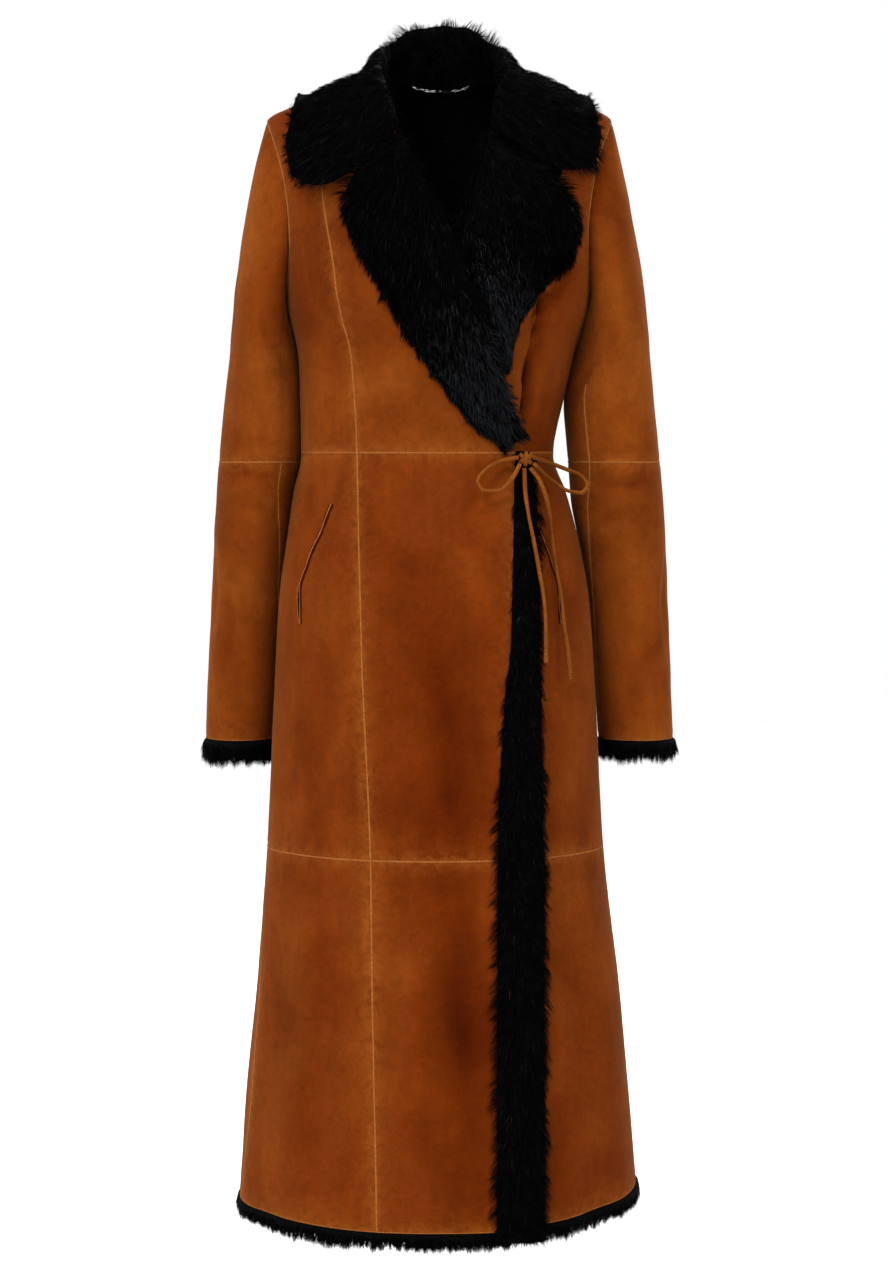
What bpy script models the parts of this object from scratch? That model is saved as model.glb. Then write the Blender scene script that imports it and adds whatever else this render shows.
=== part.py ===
"""A long wrap coat of shearling, in the shape that it has when it is worn, with nobody in it.

Skin side out, pile side in: each panel is one closed wall. The right front laps over the left
front and is closed at the waist by a lace tied in a bow. Collar, lapels, front edge, cuffs and
hem show the long pile.

All sizes are in metres. +X is the wearer's left, +Y the wearer's back and +Z up. The origin lies
midway between the two places beside the neck where the coat hangs on the wearer's shoulders.
Angles round the body are in degrees: 0 is the front, 90 the wearer's left, 180 the back.
"""

import math

import bmesh
import bpy
import numpy as np

COLLECTION = "shearling_coat"

# Sheet and seams
WALL = 0.005
SEAM_GAP = 0.0003
SHADED_SMOOTH_UP_TO = math.radians(50)

# Heights of the seams that run round the coat
WAIST_Z = -0.4095
KNEE_Z = -0.8415
HEM_Z = -1.2300
LEFT_HEM_RISE = 0.016  # how much higher the hem lies at the left side seam
ARMPIT_Z = -0.245
SHOULDER_TIP_Z = -0.050
NAPE_Z = -0.008
ELBOW_Z = -0.420
CUFF_Z = -0.727

# The body: one row for each level that changes its outline
BODY_SQUARENESS = 2.15
BODY_COLUMNS = ("z", "half_width", "front", "back", "centre_x")
BODY_ROWS = (
    (0.004, 0.070, 0.056, 0.064, 0.0000),
    (0.000, 0.076, 0.060, 0.067, 0.0000),
    (-0.012, 0.102, 0.069, 0.076, 0.0000),
    (-0.030, 0.150, 0.080, 0.087, -0.0010),
    (-0.050, 0.188, 0.090, 0.096, -0.0020),
    (-0.100, 0.182, 0.108, 0.108, -0.0025),
    (-0.170, 0.174, 0.126, 0.113, -0.0025),
    (-0.245, 0.167, 0.134, 0.108, -0.0030),
    (-0.300, 0.152, 0.126, 0.101, -0.0050),
    (-0.352, 0.1443, 0.115, 0.095, -0.0098),
    (-0.4125, 0.1383, 0.110, 0.092, -0.0151),
    (-0.453, 0.1495, 0.113, 0.102, -0.0125),
    (-0.499, 0.1590, 0.118, 0.114, -0.0094),
    (-0.572, 0.1705, 0.126, 0.128, -0.0077),
    (-0.680, 0.1770, 0.135, 0.136, -0.0067),
    (-0.8415, 0.1854, 0.149, 0.143, -0.0061),
    (-1.010, 0.2015, 0.165, 0.157, -0.0035),
    (-1.110, 0.2115, 0.174, 0.166, -0.0040),
    (-1.230, 0.2205, 0.184, 0.178, -0.0030),
)

# Soft troughs in the skirt: where each lies, how wide it is, how deep at the hem, and where it starts
TROUGH_ROWS = (  # angle, half_angle, depth, top_z
    (-58.0, 15.0, 0.0050, -0.62),
    (52.0, 16.0, 0.0060, -0.55),
    (118.0, 16.0, 0.0060, -0.60),
    (156.0, 15.0, 0.0050, -0.70),
    (204.0, 15.0, 0.0055, -0.66),
    (244.0, 16.0, 0.0060, -0.58),
)

# One drag fold across the left front, from the lapel's tip towards the lace
DRAG_FOLD_COLUMNS = ("z", "x")
DRAG_FOLD_ROWS = (
    (-0.150, 0.160),
    (-0.211, 0.136),
    (-0.276, 0.106),
    (-0.340, 0.095),
    (-0.480, 0.098),
)
DRAG_FOLD_HALF_WIDTH = 0.018
DRAG_FOLD_DEPTH = 0.005
DRAG_FOLD_BEGINS = (-0.15, -0.22)
DRAG_FOLD_ENDS = (-0.49, -0.43)

# Seam lines of the fronts, as the distance from the middle plane at each height
PRINCESS_COLUMNS = ("z", "x")
PRINCESS_ROWS = (
    (0.004, 0.130),
    (-0.124, 0.127),
    (-0.206, 0.1153),
    (-0.261, 0.1060),
    (-0.310, 0.0940),
    (-0.4125, 0.0872),
    (-0.500, 0.0860),
    (-0.647, 0.0813),
    (-0.8415, 0.0726),
    (-1.000, 0.0700),
    (-1.230, 0.0657),
)
FRONT_EDGE_COLUMNS = ("z", "right_x", "left_x")
FRONT_EDGE_ROWS = (
    (0.004, -0.0740, 0.0740),
    (-0.030, -0.0600, 0.0620),
    (-0.070, -0.0450, 0.0540),
    (-0.107, -0.0300, 0.0470),
    (-0.1425, -0.0150, 0.0330),
    (-0.182, 0.0060, 0.0140),
    (-0.264, 0.0370, -0.0200),
    (-0.323, 0.0560, -0.0320),
    (-0.4125, 0.0727, -0.0360),
    (-1.230, 0.0727, -0.0360),
)
BACK_NECK_LINE_X = 0.080
RAISED_FROM_Z = -0.17  # from here up, the bodice's lines stretch to their own ends on the shoulder
SIDE_SEAM_COLUMNS = ("z", "right_turn", "left_turn")
SIDE_SEAM_ROWS = (  # how far the side seams swing to the front, in degrees
    (-0.8415, 0.0, 0.0),
    (-0.930, 8.0, 0.0),
    (-1.010, 14.0, 0.0),
    (-1.110, 17.0, 0.0),
    (-1.230, 10.0, 0.0),
)

# The right front lies on the left front, so it stands away from the body by this much
LAP_LIFT = 0.012
LAP_FROM_ANGLE = -46.0
LAP_TO_ANGLE = -12.0
LAP_FADE_Z = (-0.080, -0.140)

# Armholes
ARMHOLE_CUT_FRONT = 23.0
ARMHOLE_CUT_BACK = 24.0

# Grid of the walls
BODICE_ROWS_BELOW_ARMHOLE = 4
ARMHOLE_ROWS = 9
SKIRT_ROWS = 7
LOWER_SKIRT_ROWS = 5
SIDE_COLUMNS = 5
CENTRE_COLUMNS = 6
BACK_SIDE_COLUMNS = 4
BACK_CENTRE_COLUMNS = 4

# Sleeves
SLEEVE_COLUMNS = ("z", "outer_x", "width", "half_depth", "centre_y", "right_gap", "left_gap")
SLEEVE_ROWS = (  # the gaps are those between the sleeve and the body
    (-0.300, 0.2290, 0.0860, 0.064, 0.012, 0.0008, 0.0030),
    (-0.350, 0.2345, 0.1010, 0.063, 0.014, 0.0006, 0.0006),
    (-0.420, 0.2415, 0.1015, 0.060, 0.015, 0.0012, 0.0012),
    (-0.460, 0.2450, 0.1020, 0.057, 0.020, 0.0018, 0.0018),
    (-0.520, 0.2490, 0.0945, 0.054, 0.028, 0.0018, 0.0018),
    (-0.590, 0.2530, 0.0880, 0.051, 0.036, 0.0020, 0.0020),
    (-0.650, 0.2560, 0.0860, 0.050, 0.040, 0.0040, 0.0040),
    (-0.727, 0.2590, 0.0850, 0.050, 0.044, 0.0085, 0.0085),
)
RIGHT_WIDER = 0.003
SHARPNESS = 500  # of the passage from the sleeve's own width to where the body holds it out
CAP_LEAVES_OUTWARD, CAP_LEAVES_FORWARD = 0.19, 0.20  # the cap's slope at the armhole
CAP_LEAVES_WIDER = 0.09
CAP_ARRIVES_INWARD, CAP_ARRIVES_WIDER = 0.02, 0.08  # and at the first level ring
CAP_ROWS = 5
UPPER_SLEEVE_ROWS = 3
FOREARM_ROWS = 8
SLEEVE_SEAM_COLUMNS = ("z", "front", "back")
SLEEVE_SEAM_ROWS = (  # angles round the sleeve: 0 outer, 90 front, 180 inner, 270 back
    (-0.050, 140.0, 230.0),
    (-0.300, 128.0, 232.0),
    (-0.420, 126.0, 236.0),
    (-0.470, 134.0, 234.0),
    (-0.520, 146.0, 232.0),
    (-0.620, 160.0, 228.0),
    (-0.727, 168.0, 226.0),
)

# Collar: from the middle of the back (share 0) to the end of its seam on a front (share 1)
COLLAR_COLUMNS = ("share", "edge_x", "edge_z", "sag", "stand", "lean", "pile")
COLLAR_ROWS = (
    (0.00, 0.000, -0.082, 0.000, 0.081, 0.004, 0.020),
    (0.15, 0.043, -0.082, 0.000, 0.075, 0.006, 0.020),
    (0.30, 0.085, -0.080, 0.000, 0.056, 0.008, 0.019),
    (0.50, 0.136, -0.060, 0.000, 0.045, 0.014, 0.014),
    (0.62, 0.151, -0.031, 0.000, 0.041, 0.014, 0.011),
    (0.75, 0.155, -0.053, 0.000, 0.034, 0.012, 0.014),
    (0.88, 0.158, -0.080, 0.012, 0.026, 0.008, 0.018),
    (1.00, 0.155, -0.110, 0.038, 0.018, 0.004, 0.017),
)
COLLAR_SIDE_SHARE = 0.62  # where the collar passes the side of the neck
COLLAR_END_Z = -0.067
LEFT_WIDER, LEFT_THICKER = 0.009, 0.004
LEFT_WIDER_SHARES = (0.40, 0.75)
LEFT_CORNER_LIFT = 0.012
LEFT_SAG_SHARE = 0.7
LEAF_SEAT = 0.0055
COLLAR_STEP = 0.5  # pieces of the neckline from one section to the next
COLLAR_LEAF = (  # share of the way to the leaf's edge, share of the pile's thickness
    (0.10, 0.9),
    (0.28, 1.0),
    (0.50, 1.0),
    (0.75, 0.9),
    (0.93, 0.62),
)
COLLAR_TIP_REACH = 0.45  # of the pile's thickness
COLLAR_LIFT = 0.0006
COLLAR_STAND = (  # behind the neck: share of the lean, inwards, share of the stand, up, off the edge
    (1.0, -0.020, 1.00, -0.013, 0.000),
    (1.0, -0.004, 1.00, 0.000, 0.000),
    (1.0, 0.010, 1.00, -0.016, 0.000),
    (0.5, 0.012, 0.35, 0.000, 0.000),
    (0.0, 0.009, 0.00, 0.000, 0.003),
)
COLLAR_ROLL = (  # on the fronts: 1 from the outer corner of the edge or 0 from the inner, off it, out
    (1, 0.002, 0.017),
    (1, 0.008, 0.010),
    (1, 0.009, 0.001),
    (0, 0.007, -0.002),
    (0, 0.002, -0.003),
)
NECK_CENTRE_Y = 0.012

# Lapels: for heights down the fold line, where the outer edge lies and how far the roll overhangs
RIGHT_LAPEL_COLUMNS = ("fold_z", "edge_x", "edge_z", "overhang", "pile")
RIGHT_LAPEL_ROWS = (
    (-0.073, -0.0960, -0.1330, 0.006, 0.016),
    (-0.100, -0.0960, -0.1530, 0.007, 0.018),
    (-0.150, -0.0790, -0.1950, 0.008, 0.019),
    (-0.196, -0.0520, -0.2420, 0.008, 0.019),
    (-0.245, -0.0275, -0.2890, 0.008, 0.018),
    (-0.300, -0.0030, -0.3290, 0.007, 0.016),
    (-0.350, 0.0260, -0.3740, 0.008, 0.013),
    (-0.398, 0.0610, -0.4060, 0.016, 0.008),
)
LEFT_LAPEL_COLUMNS = ("fold_z", "inner_x", "edge_x", "edge_z", "overhang", "pile")
LEFT_LAPEL_ROWS = (
    (-0.078, 0.0525, 0.1220, -0.1280, 0.006, 0.016),
    (-0.100, 0.0470, 0.1430, -0.1540, 0.006, 0.018),
    (-0.140, 0.0340, 0.1380, -0.1860, 0.006, 0.019),
    (-0.182, 0.0180, 0.1180, -0.2180, 0.002, 0.019),
    (-0.225, 0.0290, 0.0950, -0.2480, 0.000, 0.018),
    (-0.264, 0.0430, 0.0790, -0.2750, 0.000, 0.016),
    (-0.315, 0.0590, 0.0700, -0.3220, 0.000, 0.010),
)
LAPEL_ACROSS = (0.0, 0.14, 0.32, 0.52, 0.72, 0.9, 1.0)
RIGHT_LAPEL_HEIGHT = (0.55, 0.85, 1.0, 1.0, 0.92, 0.7, 0.35)
LEFT_LAPEL_HEIGHT = (0.20, 0.75, 1.0, 1.0, 0.92, 0.7, 0.35)
LAPEL_ROWS = 12
LAPEL_THIN, LAPEL_THICKEST = 0.004, 0.30  # the pile stays under LAPEL_THIN + LAPEL_THICKEST * width
LAPEL_TIP_REACH = 0.3  # of the pile's thickness
RIGHT_LAPEL_ROLL = (  # round the front's edge: share of the overhang, shares of thickness and wall
    (1.0, 0.25, 0.0),
    (0.6, 0.0, -0.7),
    (0.0, 0.0, -0.9),
    (0.0, 0.0, 0.0),
)
RIGHT_LAPEL_GAP = 0.0008
LEFT_LAPEL_GAP, LEFT_LAPEL_ROLL = 0.001, 0.3
RIGHT_LAPEL_SEAT = 0.0024
LEFT_LAPEL_SEAT = 0.0018

# Pile beyond the right front's edge, from the lapel's point down to the hem
EDGE_BAND_COLUMNS = ("z", "width", "lip")
EDGE_BAND_ROWS = (
    (-0.4085, 0.019, 0.000),
    (-0.4130, 0.021, 0.002),
    (-0.470, 0.030, 0.002),
    (-0.600, 0.034, 0.004),
    (-0.680, 0.035, 0.013),
    (-0.8415, 0.038, 0.021),
    (-1.252, 0.039, 0.021),
)
EDGE_BAND_SECTION = (  # share of the width, share of the lip, along the front, out of it
    (0.0, 0.0, 0.0006, -0.0050),
    (0.0, 0.0, 0.0006, 0.0010),
    (0.0, -1.0, 0.0, 0.0010),
    (0.0, -0.7, 0.0, 0.0045),
    (0.2, 0.0, 0.0, 0.0080),
    (0.6, 0.0, 0.0, 0.0080),
    (0.9, 0.0, 0.0, 0.0045),
    (1.0, 0.0, 0.0, -0.0010),
    (0.8, 0.0, 0.0, -0.0065),
    (0.3, 0.0, 0.0, -0.0080),
)
EDGE_BAND_BELOW_HEM = (0.010, 0.0215)

# Pile below the hem and the cuffs: how far out of the skin's outer face and how far below its edge
HEM_SECTION = (
    (-0.0050, -0.0004),
    (0.0000, -0.0004),
    (0.0035, -0.0050),
    (0.0040, -0.0150),
    (0.0000, -0.0215),
    (-0.0080, -0.0215),
    (-0.0110, -0.0120),
    (-0.0090, -0.0030),
)
CUFF_SECTION = (
    (-0.0050, -0.0004),
    (0.0000, -0.0004),
    (0.0035, -0.0060),
    (0.0040, -0.0200),
    (0.0000, -0.0290),
    (-0.0080, -0.0290),
    (-0.0110, -0.0160),
    (-0.0090, -0.0040),
)
HEM_LAST_SHARE = 0.93  # how far the right front's last stretch reaches towards the edge
HEM_THINNER_ON_LAP = 0.45
HEM_END_GAP = 0.10  # degrees between neighbouring pieces
UNDER_LAP = (36.0, 28.0)
HEM_THINNER_UNDER_LAP = 0.8
CUFF_PILE_LENGTH = {"right": 1.05, "left": 0.88}

# Pockets: a welt along a slanted slit in each front
POCKET_COLUMNS = ("z", "right_x", "left_x")
POCKET_ROWS = (
    (-0.4645, -0.1170, 0.0930),
    (-0.4945, -0.1300, 0.1060),
    (-0.5280, -0.1435, 0.1195),
    (-0.5610, -0.1520, 0.1280),
    (-0.5940, -0.1520, 0.1290),
)
WELT_WIDTH = 0.006
WELT_HEIGHT = 0.0020
WELT_SEAT = 0.0005
WELT_POINTS = 9
WELT_END_SHARE = 0.35
WELT_SECTION = ((-1, 0), (1, 0), (0.8, 1), (-0.8, 1))  # shares of half the width and of the height

# The lace: a flat bow in front of the waist
LACE_DIAMETER = 0.0046
KNOT_SIZE = (0.0140, 0.0110, 0.0120)
KNOT_X, KNOT_Z = 0.0900, -0.4165
KNOT_RINGS, KNOT_SIDES = 7, 12
LACE_SEAT = 0.0007
LACE_SIDE_X = 0.125  # past this the lace hangs in front of the coat's side
EDGE_PILE_TOP = 0.0085  # how far the pile at the edge stands out of the front
EDGE_PILE_MARGIN = (0.012, 0.004)
# The lace's stretches: for each point x, how far in front of the coat, and z
LACE_PATHS = {
    "loop_right": (
        (0.0822, 0.0030, -0.4150), (0.0640, 0.0090, -0.4190), (0.0460, 0.0130, -0.4290),
        (0.0385, 0.0150, -0.4400), (0.0460, 0.0150, -0.4500), (0.0600, 0.0130, -0.4500),
        (0.0750, 0.0090, -0.4370), (0.0838, 0.0050, -0.4225),
    ),
    "loop_left": (
        (0.0978, 0.0030, -0.4148), (0.1170, 0.0100, -0.4210), (0.1360, 0.0220, -0.4280),
        (0.1520, 0.0340, -0.4360), (0.1570, 0.0380, -0.4450), (0.1500, 0.0360, -0.4530),
        (0.1370, 0.0290, -0.4510), (0.1200, 0.0190, -0.4400), (0.0995, 0.0120, -0.4225),
    ),
    "end_right": (
        (0.0885, 0.0016, -0.4265), (0.0890, 0.0006, -0.4450), (0.0930, 0.0006, -0.4760),
        (0.0985, 0.0010, -0.5040), (0.1045, 0.0015, -0.5370), (0.1090, 0.0030, -0.5640),
        (0.1110, 0.0035, -0.5900), (0.1115, 0.0035, -0.6320),
    ),
    "end_left": (
        (0.0950, 0.0045, -0.4260), (0.1050, 0.0060, -0.4400), (0.1130, 0.0060, -0.4620),
        (0.1190, 0.0060, -0.5000), (0.1240, 0.0060, -0.5360), (0.1290, 0.0060, -0.5640),
        (0.1320, 0.0060, -0.5950), (0.1360, 0.0050, -0.6230), (0.1385, 0.0050, -0.6520),
    ),
}
LACE_COUNTS = {"loop_right": 13, "loop_left": 15, "end_right": 20, "end_left": 22}

# The hanger's chain, sewn on inside the back of the neck
HANGER_HALF = 0.031
HANGER_BACK_Y = 0.0500
HANGER_FORWARD = 0.006
HANGER_Z = -0.0045
HANGER_SAG = 0.0075
HANGER_DIAMETER = 0.0028
HANGER_POINTS = 15


def pchip(xs, ys):
    """A smooth curve through the points that never overshoots them. It takes and returns arrays."""
    order = np.argsort(xs)
    x, y = np.asarray(xs, float)[order], np.asarray(ys, float)[order]
    step, rise = np.diff(x), np.diff(y)
    slope = rise / step
    tangent = np.empty_like(y)
    tangent[0], tangent[-1] = slope[0], slope[-1]
    before, after = slope[:-1], slope[1:]
    w1, w2 = 2 * step[1:] + step[:-1], step[1:] + 2 * step[:-1]
    same_way = before * after > 0
    safe_before = np.where(same_way, before, 1.0)
    safe_after = np.where(same_way, after, 1.0)
    harmonic = (w1 + w2) / (w1 / safe_before + w2 / safe_after)
    tangent[1:-1] = np.where(same_way, harmonic, 0.0)

    def curve(at):
        at = np.clip(np.asarray(at, float), x[0], x[-1])
        i = np.clip(np.searchsorted(x, at, side="right") - 1, 0, len(step) - 1)
        t = (at - x[i]) / step[i]
        h = step[i]
        return (
            (1 + 2 * t) * (1 - t) ** 2 * y[i]
            + t * (1 - t) ** 2 * h * tangent[i]
            + t * t * (3 - 2 * t) * y[i + 1]
            + t * t * (t - 1) * h * tangent[i + 1]
        )

    return curve


def columns(names, rows):
    """The table's columns after the first, each as a smooth curve over the first."""
    first = [row[0] for row in rows]
    return {
        name: pchip(first, [row[i + 1] for row in rows])
        for i, name in enumerate(names[1:])
    }


BODY = columns(BODY_COLUMNS, BODY_ROWS)
DRAG_FOLD = columns(DRAG_FOLD_COLUMNS, DRAG_FOLD_ROWS)
PRINCESS = columns(PRINCESS_COLUMNS, PRINCESS_ROWS)
FRONT_EDGE = columns(FRONT_EDGE_COLUMNS, FRONT_EDGE_ROWS)
SIDE_SEAM = columns(SIDE_SEAM_COLUMNS, SIDE_SEAM_ROWS)
SLEEVE = columns(SLEEVE_COLUMNS, SLEEVE_ROWS)
SLEEVE_SEAM = columns(SLEEVE_SEAM_COLUMNS, SLEEVE_SEAM_ROWS)
COLLAR = columns(COLLAR_COLUMNS, COLLAR_ROWS)
RIGHT_LAPEL = columns(RIGHT_LAPEL_COLUMNS, RIGHT_LAPEL_ROWS)
LEFT_LAPEL = columns(LEFT_LAPEL_COLUMNS, LEFT_LAPEL_ROWS)
EDGE_BAND = columns(EDGE_BAND_COLUMNS, EDGE_BAND_ROWS)
POCKET = columns(POCKET_COLUMNS, POCKET_ROWS)


def smoothstep(value, low, high):
    t = np.clip((value - low) / (high - low), 0, 1)
    return t * t * (3 - 2 * t)


def signed_power(value, power):
    return np.sign(value) * np.abs(value) ** power


def unit(vectors):
    return vectors / np.maximum(np.linalg.norm(vectors, axis=-1, keepdims=True), 1e-12)


def trough_depth(angle, z):
    """How far the skirt is drawn in by its soft vertical folds."""
    depth = np.zeros_like(angle)
    for centre, half_angle, most, top_z in TROUGH_ROWS:
        off = (angle - centre + 180) % 360 - 180
        across = 0.5 + 0.5 * np.cos(np.pi * np.clip(off / half_angle, -1, 1))
        depth = depth + most * across * smoothstep(z, top_z, HEM_Z)
    return depth


def drag_fold_depth(x, z):
    across = 0.5 + 0.5 * np.cos(np.pi * np.clip((x - DRAG_FOLD["x"](z)) / DRAG_FOLD_HALF_WIDTH, -1, 1))
    return DRAG_FOLD_DEPTH * across * smoothstep(z, *DRAG_FOLD_BEGINS) * smoothstep(z, *DRAG_FOLD_ENDS)


def body(angle, z):
    """The outer face of the coat's body, before any lap."""
    angle, z = np.broadcast_arrays(np.asarray(angle, float), np.asarray(z, float))
    turn = np.radians(angle)
    sine, cosine = np.sin(turn), np.cos(turn)
    power = 2 / BODY_SQUARENESS
    depth = np.where(cosine > 0, BODY["front"](z), BODY["back"](z))
    trough = trough_depth(angle, z)
    x = BODY["centre_x"](z) + (BODY["half_width"](z) - trough) * signed_power(sine, power)
    y = -(depth - trough) * signed_power(cosine, power)
    y = y + np.where(cosine > 0, drag_fold_depth(x, z), 0)
    return np.stack([x, y, z], axis=-1)


def normal_of(surface, a, b, step_a=0.4, step_b=0.0015):
    """The outward normal of a surface given by two coordinates."""
    along_a = surface(a + step_a, b) - surface(a - step_a, b)
    along_b = surface(a, b + step_b) - surface(a, b - step_b)
    return unit(np.cross(along_a, along_b))


def body_normal(angle, z):
    return normal_of(body, angle, z)


def lap_lift(angle, z):
    return (
        LAP_LIFT
        * smoothstep(angle, LAP_FROM_ANGLE, LAP_TO_ANGLE)
        * smoothstep(z, *LAP_FADE_Z)
    )


def lapped(angle, z):
    """The outer face of the right front, which lies over the left one."""
    angle, z = np.broadcast_arrays(np.asarray(angle, float), np.asarray(z, float))
    return body(angle, z) + body_normal(angle, z) * lap_lift(angle, z)[..., None]


def angle_at(x, z):
    """The angle at which the front of the body is x to the wearer's left."""
    share = np.clip((x - BODY["centre_x"](z)) / BODY["half_width"](z), -1, 1)
    return np.degrees(np.arcsin(signed_power(share, BODY_SQUARENESS / 2)))


def blend(a, b, share):
    return a + (b - a) * share


# ---------------------------------------------------------------- lines that the seams follow


def armhole_rows():
    """Angles round the armhole, from the armpit (180) to the shoulder tip (0)."""
    return np.linspace(180, 0, ARMHOLE_ROWS + 1)


def armhole(side, turn):
    """(angle, z) on the body of the armhole's edge. turn: 0 shoulder tip, 90 front, 180 armpit, 270 back."""
    turn = np.radians(np.asarray(turn, float))
    middle = (ARMPIT_Z + SHOULDER_TIP_Z) / 2
    z = middle + (SHOULDER_TIP_Z - ARMPIT_Z) / 2 * np.cos(turn)
    cut = np.where(np.sin(turn) > 0, ARMHOLE_CUT_FRONT, ARMHOLE_CUT_BACK)
    return side * (90 - cut * np.sin(turn)), z


def side_seam_angle(side, z):
    return side * (90 - SIDE_SEAM["right_turn" if side < 0 else "left_turn"](z))


def bodice_side(side, facing):
    """The side seam and then the armhole's edge, up to the shoulder tip. facing: 1 front, -1 back."""
    below = np.linspace(WAIST_Z, ARMPIT_Z, BODICE_ROWS_BELOW_ARMHOLE + 1)[:-1]
    turn = armhole_rows() * facing
    angle, z = armhole(side, turn)
    return np.concatenate([side_seam_angle(side, below), angle]), np.concatenate([below, z])


def raised(z, top_z):
    """The heights of a bodice line that ends at top_z instead of at the shoulder tip."""
    return z + (top_z - SHOULDER_TIP_Z) * smoothstep(z, RAISED_FROM_Z, SHOULDER_TIP_Z)


def shoulder_height(x):
    """The height of the shoulder seam at a distance from the middle."""
    heights = np.linspace(SHOULDER_TIP_Z, 0.0, 200)
    return float(np.interp(-x, -BODY["half_width"](heights), heights))


def bodice_princess(side):
    z = raised(bodice_side(side, 1)[1], shoulder_height(PRINCESS_ROWS[0][1]))
    angle = side * np.abs(angle_at(side * PRINCESS["x"](z), z))
    angle[-1] = side * 90
    return angle, z


def edge_x(side, z):
    return FRONT_EDGE["right_x" if side < 0 else "left_x"](z)


def bodice_edge(side):
    z = raised(bodice_side(side, 1)[1], 0.0)
    angle = angle_at(edge_x(side, z), z)
    angle[-1] = side * 90
    return angle, z


def bodice_back_neck(side):
    z = raised(bodice_side(side, -1)[1], 0.0)
    angle = side * (180 - np.abs(angle_at(BACK_NECK_LINE_X, z)))
    angle[-1] = side * 90
    return angle, z


def bodice_back_middle():
    z = raised(bodice_side(1, -1)[1], NAPE_Z)
    return np.full_like(z, 180.0), z


def skirt_lines(z):
    """Every line of the skirt at the heights z, by name."""
    lines = {"back_middle": np.full_like(z, 180.0)}
    for side, name in ((-1, "right"), (1, "left")):
        lines[name + "_side"] = side_seam_angle(side, z)
        lines[name + "_princess"] = angle_at(side * PRINCESS["x"](z), z)
        lines[name + "_edge"] = angle_at(edge_x(side, z), z)
        lines[name + "_back"] = side * (180 - np.abs(angle_at(BACK_NECK_LINE_X, z)))
    heights = {"left_side": z + LEFT_HEM_RISE * smoothstep(z, KNEE_Z, HEM_Z)}
    return {name: (angle, heights.get(name, z)) for name, angle in lines.items()}


def grid_between(lines, counts):
    """(angles, heights) of a grid whose columns lie between the lines, one row for each point of a line."""
    angles, heights = [lines[0][0]], [lines[0][1]]
    for (a0, z0), (a1, z1), count in zip(lines[:-1], lines[1:], counts):
        for i in range(1, count + 1):
            angles.append(blend(a0, a1, i / count))
            heights.append(blend(z0, z1, i / count))
    return np.array(angles).T, np.array(heights).T


# ---------------------------------------------------------------- meshes


def make_object(name, mesh, material, smooth=True):
    mesh.materials.append(material)
    if smooth:
        mesh.shade_smooth()
        mesh.set_sharp_from_angle(angle=SHADED_SMOOTH_UP_TO)
    obj = bpy.data.objects.new(name, mesh)
    bpy.data.collections[COLLECTION].objects.link(obj)
    return obj


def mesh_from(name, points, faces):
    mesh = bpy.data.meshes.new(name)
    mesh.from_pydata([tuple(p) for p in points], [], faces)
    made = bmesh.new()
    made.from_mesh(mesh)
    bmesh.ops.recalc_face_normals(made, faces=made.faces)
    made.to_mesh(mesh)
    made.free()
    return mesh


def draw_in(layer, gap):
    """The layer with its four edges moved inwards by gap, so that neighbours don't touch."""
    layer = layer.copy()
    layer[:, 0] += unit(layer[:, 1] - layer[:, 0]) * gap
    layer[:, -1] += unit(layer[:, -2] - layer[:, -1]) * gap
    layer[0] += unit(layer[1] - layer[0]) * gap
    layer[-1] += unit(layer[-2] - layer[-1]) * gap
    return layer


RIM_ORDER = np.array([0.113, 0.37, 1.0])  # two walls that meet split their rims along the same diagonals


def wall(name, outer, inner, material):
    """A closed wall between two grids of points that have the same rows and columns."""
    outer, inner = draw_in(outer, SEAM_GAP / 2), draw_in(inner, SEAM_GAP / 2)
    rows, cols = outer.shape[:2]
    layer = rows * cols

    def at(r, c, deep=0):
        return deep * layer + r * cols + c

    faces = []
    for r in range(rows - 1):
        for c in range(cols - 1):
            faces.append((at(r, c), at(r, c + 1), at(r + 1, c + 1), at(r + 1, c)))
            faces.append((at(r, c, 1), at(r + 1, c, 1), at(r + 1, c + 1, 1), at(r, c + 1, 1)))
    rim = [(0, c) for c in range(cols - 1)] + [(r, cols - 1) for r in range(rows - 1)]
    rim += [(rows - 1, c) for c in range(cols - 1, 0, -1)] + [(r, 0) for r in range(rows - 1, 0, -1)]
    for (r0, c0), (r1, c1) in zip(rim, rim[1:] + rim[:1]):
        o0, i0, i1, o1 = at(r0, c0), at(r0, c0, 1), at(r1, c1, 1), at(r1, c1)
        if outer[r0, c0] @ RIM_ORDER > outer[r1, c1] @ RIM_ORDER:
            faces += [(o0, i0, i1), (o0, i1, o1)]
        else:
            faces += [(o0, i0, o1), (i0, i1, o1)]
    points = np.concatenate([outer.reshape(-1, 3), inner.reshape(-1, 3)])
    return make_object(name, mesh_from(name, points, faces), material)


def loft(name, rings, material, closed=False):
    """A solid through rings of equal count. It is capped at both ends unless it closes on itself."""
    rings = np.asarray(rings)
    count, around = rings.shape[:2]
    faces = []
    for i in range(count if closed else count - 1):
        j = (i + 1) % count
        for k in range(around):
            n = (k + 1) % around
            faces.append((i * around + k, i * around + n, j * around + n, j * around + k))
    if not closed:
        faces.append(tuple(range(around)))
        faces.append(tuple(range((count - 1) * around, count * around)))
    return make_object(name, mesh_from(name, rings.reshape(-1, 3), faces), material)


def material(name, colour, roughness):
    made = bpy.data.materials.new(name)
    made.use_nodes = True
    shader = made.node_tree.nodes["Principled BSDF"]
    shader.inputs["Base Color"].default_value = (*colour, 1)
    shader.inputs["Roughness"].default_value = roughness
    return made


# ---------------------------------------------------------------- body panels


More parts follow.
